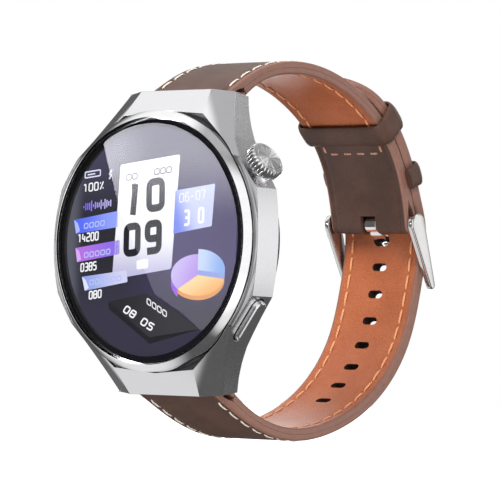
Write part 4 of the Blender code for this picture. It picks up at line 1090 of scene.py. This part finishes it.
def dial_marks():
    """Generic marks where the picture would carry captions: boxes, a pulse line and a bolt."""
    tokens("dial_tokens_time", ((84, 80, 96),), MID, (1.0, 0.12), 0.95,
           [(-6.3, 10.3), (-4.95, 10.45), (0.0, 11.2), (1.35, 11.35), (2.7, 11.5)])
    tokens("dial_tokens_sleep", ((236, 236, 240),), MID, (0.85, -0.42), 0.9,
           [(-0.6 + 1.2 * k, -10.6 - 0.6 * k) for k in range(4)])
    rows = ((4, -15.6, 2.1, 0.16), (5, -15.3, -2.9, 0.15), (6, -13.8, -7.6, 0.15))
    tokens("dial_tokens_bars", ((186, 196, 255),), HIGH, (0.85, 0.12), 0.8,
           [(x + 1.25 * k, z + rise * k) for count, x, z, rise in rows for k in range(count)])
    lines("dial_bolt", (WHITE,), MID, 0.3, [[(-9.7, 12.2), (-10.4, 11.35), (-9.75, 11.4), (-10.3, 10.6)]])
    lines("dial_battery", (WHITE,), MID, 0.22,
          [[(-15.9, 10.8), (-12.4, 11.2), (-12.4, 12.2), (-15.9, 11.8), (-15.9, 10.8)],
           [(-15.3, 11.35), (-13.6, 11.55)]])
    pulse = []
    for k in range(15):
        x, z = -15.9 + 0.44 * k, 5.8 + 0.0484 * k
        reach = 0.2 + 0.75 * abs(sin(k * 1.9)) * (0.5 + 0.5 * sin(k * 0.45) ** 2)
        pulse.append([(x, z - reach), (x, z + reach)])
    lines("dial_wave", ((124, 104, 255), (206, 200, 255), (-16, 6), (-10, 7)), MID, 0.22, pulse)


def pie_slice(name, look, rim, start, end, lift, depth, drop):
    """A slice of the chart with a visible thickness under its near edge."""
    cx, cz = PIE_CENTRE[0], PIE_CENTRE[1] + lift
    curve = [(cx + PIE_RADII[0] * x, cz + PIE_RADII[1] * z)
             for x, z in arc((0, 0), 1, radians(start), radians(end), 28)]
    top = bmesh.new()
    plate(top, [(cx, cz), *curve], depth, PLATE)
    dial_piece(name, look, top)
    side = [(cx, cz), *curve] if end - start < 105 else curve
    under = bmesh.new()
    plate(under, side + [(x, z - drop) for x, z in reversed(side)], depth + 0.04, PLATE)
    dial_piece(name + "_rim", [rim], under)


def dial_pie():
    """Three slices that meet: lilac at the left, amber in front and a raised blue one."""
    pie_slice("dial_pie_lilac", ((206, 190, 246), (184, 150, 236), (5, -4), (10, -7)), (150, 92, 222),
              90, 223, 0, MID, 1.3)
    pie_slice("dial_pie_amber", ((255, 220, 160), (248, 184, 108), (10.4, -6), (12, -9.5)), (232, 158, 92),
              223, 350, 0, MID, 0.7)
    pie_slice("dial_pie_blue", ((204, 220, 248), (140, 178, 240), (10.5, -3), (16, -4)), (150, 166, 232),
              -10, 90, 0.85, HIGH, 0.85)


def dial():
    """The lit picture under the glass."""
    profile = [(0, DEEP), (20.1, DEEP), (20.1, DEEP + PLATE), (0, DEEP + PLATE)]
    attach(turned("dial_ground", profile, "ground"), "case")
    dial_cards()
    dial_figures()
    dial_marks()
    dial_pie()


# ---- back
def back_details():
    """Sensor lenses set in the glass, thin steel rings round them, and charging contacts."""
    back = WINDOW_BACK - 0.1
    for name, inner, outer in (("sensor_ring_outer", 7.35, 7.6), ("sensor_ring_inner", 2.5, 2.62)):
        profile = [(inner, back), (outer, back), (outer, back + 0.12), (inner, back + 0.12)]
        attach(turned(name, profile, "polished_steel"), "case")
    bm = bmesh.new()
    for k, (x, z) in enumerate(arc((0, 0), 5.0, pi / 8, 15 * pi / 8, 7)):
        plate(bm, disc((x, z), 0.85 if k % 2 else 1.1, 24), back, 0.13)
    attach(solid("sensor_lenses", bm, "lens", 30), "case")
    bm = bmesh.new()
    for x in (-2.0, 2.0):
        skin(bm, [[(px, COVER_BACK + y, pz) for px, pz in disc((x, -14.0), radius, 24)]
                  for radius, y in ((0.9, -0.2), (0.9, 0.04), (0.75, 0.1))])
    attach(solid("charging_contacts", bm, "polished_steel", 30), "case")


# ---- finishes of the CAD nodes that stay in view
BEVELS = {"mid_case": 0.12, "buckle_tongue": 0.22, "rear_cover": 0.12, "sensor_window": 0.15,
          "buckle_bar": 0.12}


def modifier(node, kind, **settings):
    made = node.modifiers.new(kind.lower(), kind)
    for key, value in settings.items():
        setattr(made, key, value)


def soften(node, width):
    """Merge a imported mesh's split corners, round its edges if asked, and keep its facets crisp."""
    node.data.shade_smooth()
    modifier(node, "WELD", merge_threshold=2e-7)
    modifier(node, "DECIMATE", decimate_type="DISSOLVE", angle_limit=radians(0.3), delimit={"MATERIAL"})
    if width:
        modifier(node, "BEVEL", width=width * MM, segments=6, limit_method="ANGLE",
                 angle_limit=radians(24), offset_type="WIDTH", loop_slide=False, use_clamp_overlap=False)
    modifier(node, "EDGE_SPLIT", split_angle=radians(19))
    modifier(node, "WEIGHTED_NORMAL")


def paint_case(mesh):
    """Satin steel on the case, a finer finish on the hoods, circular brushing by the bezel, and painted shade
    as dark steel on the recess faces round the bezel.
    """
    for look in ("brushed_steel", "facet", "ring", "recess_shade"):
        mesh.materials.append(MATERIALS[look])
    for face in mesh.polygons:
        out = face.normal
        centre = face.center / MM
        radius = hypot(centre.x, centre.z)
        inward = out.x * centre.x + out.z * centre.z < -0.5 * radius
        # recess faces in the bezel's shade get the painted shade material
        if radius < CASE_RECESS and centre.y > 1.2 and (out.y < -0.9 or inward):
            face.material_index = 3
        elif out.y < -0.6 and centre.y < 6.2:
            face.material_index = 2 if radius > BEZEL_INNER and out.y < -0.86 else 1
        elif abs(out.z) > 0.3 and out.y < -0.1 and centre.y < 8:
            face.material_index = 1


def finish_nodes():
    """Give the nodes that still show their slot's material, and soften them."""
    for name, node in frame["nodes"].items():
        if node.hide_render:
            continue
        node.data.materials.clear()
        if name == "mid_case":
            paint_case(node.data)
        else:
            node.data.materials.append(MATERIALS[SLOTS[name]])
        soften(node, BEVELS.get(name))


# ---- studio
CAMERA_AZIMUTH = radians(39.78)
CAMERA_ELEVATION = radians(-2.34)
CAMERA_ROLL = radians(2.17)
CAMERA_TARGET = (22.6, 0.0, -1.54)
CAMERA_DISTANCE = 576.2
CAMERA_BACK = Vector((sin(CAMERA_AZIMUTH) * cos(CAMERA_ELEVATION),
                      -cos(CAMERA_AZIMUTH) * cos(CAMERA_ELEVATION), sin(CAMERA_ELEVATION)))
CAMERA_AT = Vector(CAMERA_TARGET) + CAMERA_BACK * CAMERA_DISTANCE
CAMERA_LENS = 252
FLOOR_Z = -100.0             # clear of the strap when its long half hangs open
FLOOR_REACH = 20000
CARD_Y = -110.0              # the window card stands this far in front of the glass
GLARE = ((-13.7, 16.5), (-9.0, 6.6), (-7.2, 4.0), (-0.7, -5.8), (1.1, -8.3), (2.9, -10.8), (11.4, -14.7),
         (17, -18), (26, -12), (26, 24), (-17, 24))   # its mirror image on the glass, in (x, z)
LOBES = (                    # direction, full and zero angle in degrees, brightness
    ((-0.66, -0.22, 0.72), 14, 36, 1.0),
    ((0.0, -0.3, 0.95), 10, 32, 0.4),
    ((-0.72, -0.25, -0.65), 14, 38, 0.75),
    ((0.6, -0.75, 0.1), 32, 52, 1.0),
    ((0.5, -0.57, -0.65), 10, 24, 0.8),
    ((0.66, 0.75, 0.04), 12, 28, 1.0),
    ((0.55, 0.45, 0.70), 8, 23, 1.5),
    ((-0.15, 0.95, 0.35), 8, 20, 1.4),
    ((0.2, 0.8, 0.56), 6, 20, 0.08),
    ((-0.45, 0.6, 0.66), 10, 24, 1.3),
    ((-0.98, -0.2, 0.03), 5, 18, 2.0),
)
DARKEST = 0.1


def add(name, data):
    thing = bpy.data.objects.new(name, data)
    bpy.context.scene.collection.objects.link(thing)
    return thing


def camera():
    right = Vector((0, 0, 1)).cross(CAMERA_BACK).normalized()
    up = CAMERA_BACK.cross(right)
    data = bpy.data.cameras.new("camera")
    data.lens = CAMERA_LENS
    data.clip_start = 0.01
    data.clip_end = 50
    thing = add("camera", data)
    turn = Matrix((cos(CAMERA_ROLL) * right + sin(CAMERA_ROLL) * up,
                   cos(CAMERA_ROLL) * up - sin(CAMERA_ROLL) * right, CAMERA_BACK)).transposed().to_4x4()
    thing.matrix_world = Matrix.Translation(CAMERA_AT * MM) @ turn
    bpy.context.scene.camera = thing


def on_card(x, z):
    """Where the camera, mirrored in the glass, sees the glass point (x, z) on the card's plane."""
    point = Vector((x, 0, z))
    run = point - Vector((CAMERA_AT.x, -CAMERA_AT.y, CAMERA_AT.z))
    return point + run * (CARD_Y / run.y)


def sheet(name, corners, material, unseen):
    """A flat card of the studio that takes no part in the kinds of light named."""
    bm = bmesh.new()
    bm.faces.new([bm.verts.new(corner) for corner in corners])
    piece = solid(name, bm, material, None)
    for kind in unseen:
        setattr(piece, "visible_" + kind, False)


def window_card():
    """The bright window that the glass mirrors; only reflections see it."""
    g = surface("window_light")
    point = g.place()
    low, high = on_card(0, 3).z * MM, on_card(0, 19).z * MM
    strength = g.remap(g.xyz(point)[2], low, high, 2.3, 10.0)
    hot = g.vector("DISTANCE", point, tuple(on_card(-13, 17) * MM))
    strength = g.math("ADD", strength, g.remap(hot, 0.0, 18 * MM, 5.0, 0.0))
    material = g.end(g.node("Emission", {"Color": (0.93, 0.93, 1.0, 1), "Strength": strength}).outputs[0])
    sheet("window_card", [on_card(x, z) for x, z in GLARE], material,
          ("camera", "diffuse", "shadow", "transmission", "volume_scatter"))


def floor():
    """Plain pale floor that only the camera sees."""
    g = surface("floor")
    grit = g.noise(g.place(), 60.0)
    colour = g.mix(grit, (0.93, 0.93, 0.93, 1), (0.96, 0.96, 0.96, 1))
    material = g.principled(colour, g.remap(grit, 0.3, 0.7, 0.75, 0.85), g.bump(grit, 1e-5),
                            Emission_Color=(1, 1, 1, 1), Emission_Strength=0.9)
    corners = [(x * FLOOR_REACH, y * FLOOR_REACH, FLOOR_Z) for x, y in ((-1, -1), (1, -1), (1, 1), (-1, 1))]
    sheet("floor", corners, material, ("glossy", "diffuse", "shadow"))


def world():
    """Large soft lights as patches of the sky, dark between them; the backdrop is plain white."""
    g = Graph(bpy.data.worlds.new("studio"))
    direction = g.node("TexCoord").outputs["Generated"]
    light = DARKEST
    for axis, full, zero, strength in LOBES:
        near = g.vector("DOT_PRODUCT", direction, tuple(Vector(axis).normalized()))
        light = g.math("ADD", g.remap(near, cos(radians(zero)), cos(radians(full)), 0.0, strength), light)
    soft, white = [g.node("Background", {"Color": (1, 1, 1, 1), "Strength": strength}).outputs[0]
                   for strength in (light, 1.0)]
    seen = g.node("LightPath").outputs["Is Camera Ray"]
    bpy.context.scene.world = g.end(g.node("MixShader", {0: seen, 1: soft, 2: white}).outputs[0])


def area_light(name, place, target, size, power, shines=False):
    data = bpy.data.lights.new(name, "AREA")
    data.shape = "DISK"
    data.size = size * MM
    data.energy = power
    thing = add(name, data)
    turn_to(thing, place, (Vector(target) - Vector(place)).to_track_quat("-Z", "Y"))
    thing.visible_camera = False
    thing.visible_glossy = shines


def studio():
    camera()
    window_card()
    floor()
    world()
    area_light("key", (-150, -420, 420), (15, 20, 0), 300, 5.0)
    area_light("inside_fill", (350, -150, 330), (45, 45, -22), 220, 2.5)
    area_light("under_fill", (190, -130, -330), (30, 35, 10), 300, 1.7)
    area_light("lining_sheen", (-61, 141, 3), (5, 45, -27), 90, 0.06, shines=True)
    bpy.context.scene.view_settings.view_transform = "Standard"


def write_sizes():
    bpy.context.view_layer.update()


for build in (upper_outer, upper_lining, lower_outer, lower_lining, stitches, free_keeper, fixed_keeper,
              bezel, glass, crown, buckle, button, dial, back_details, finish_nodes, studio, write_sizes):
    build()
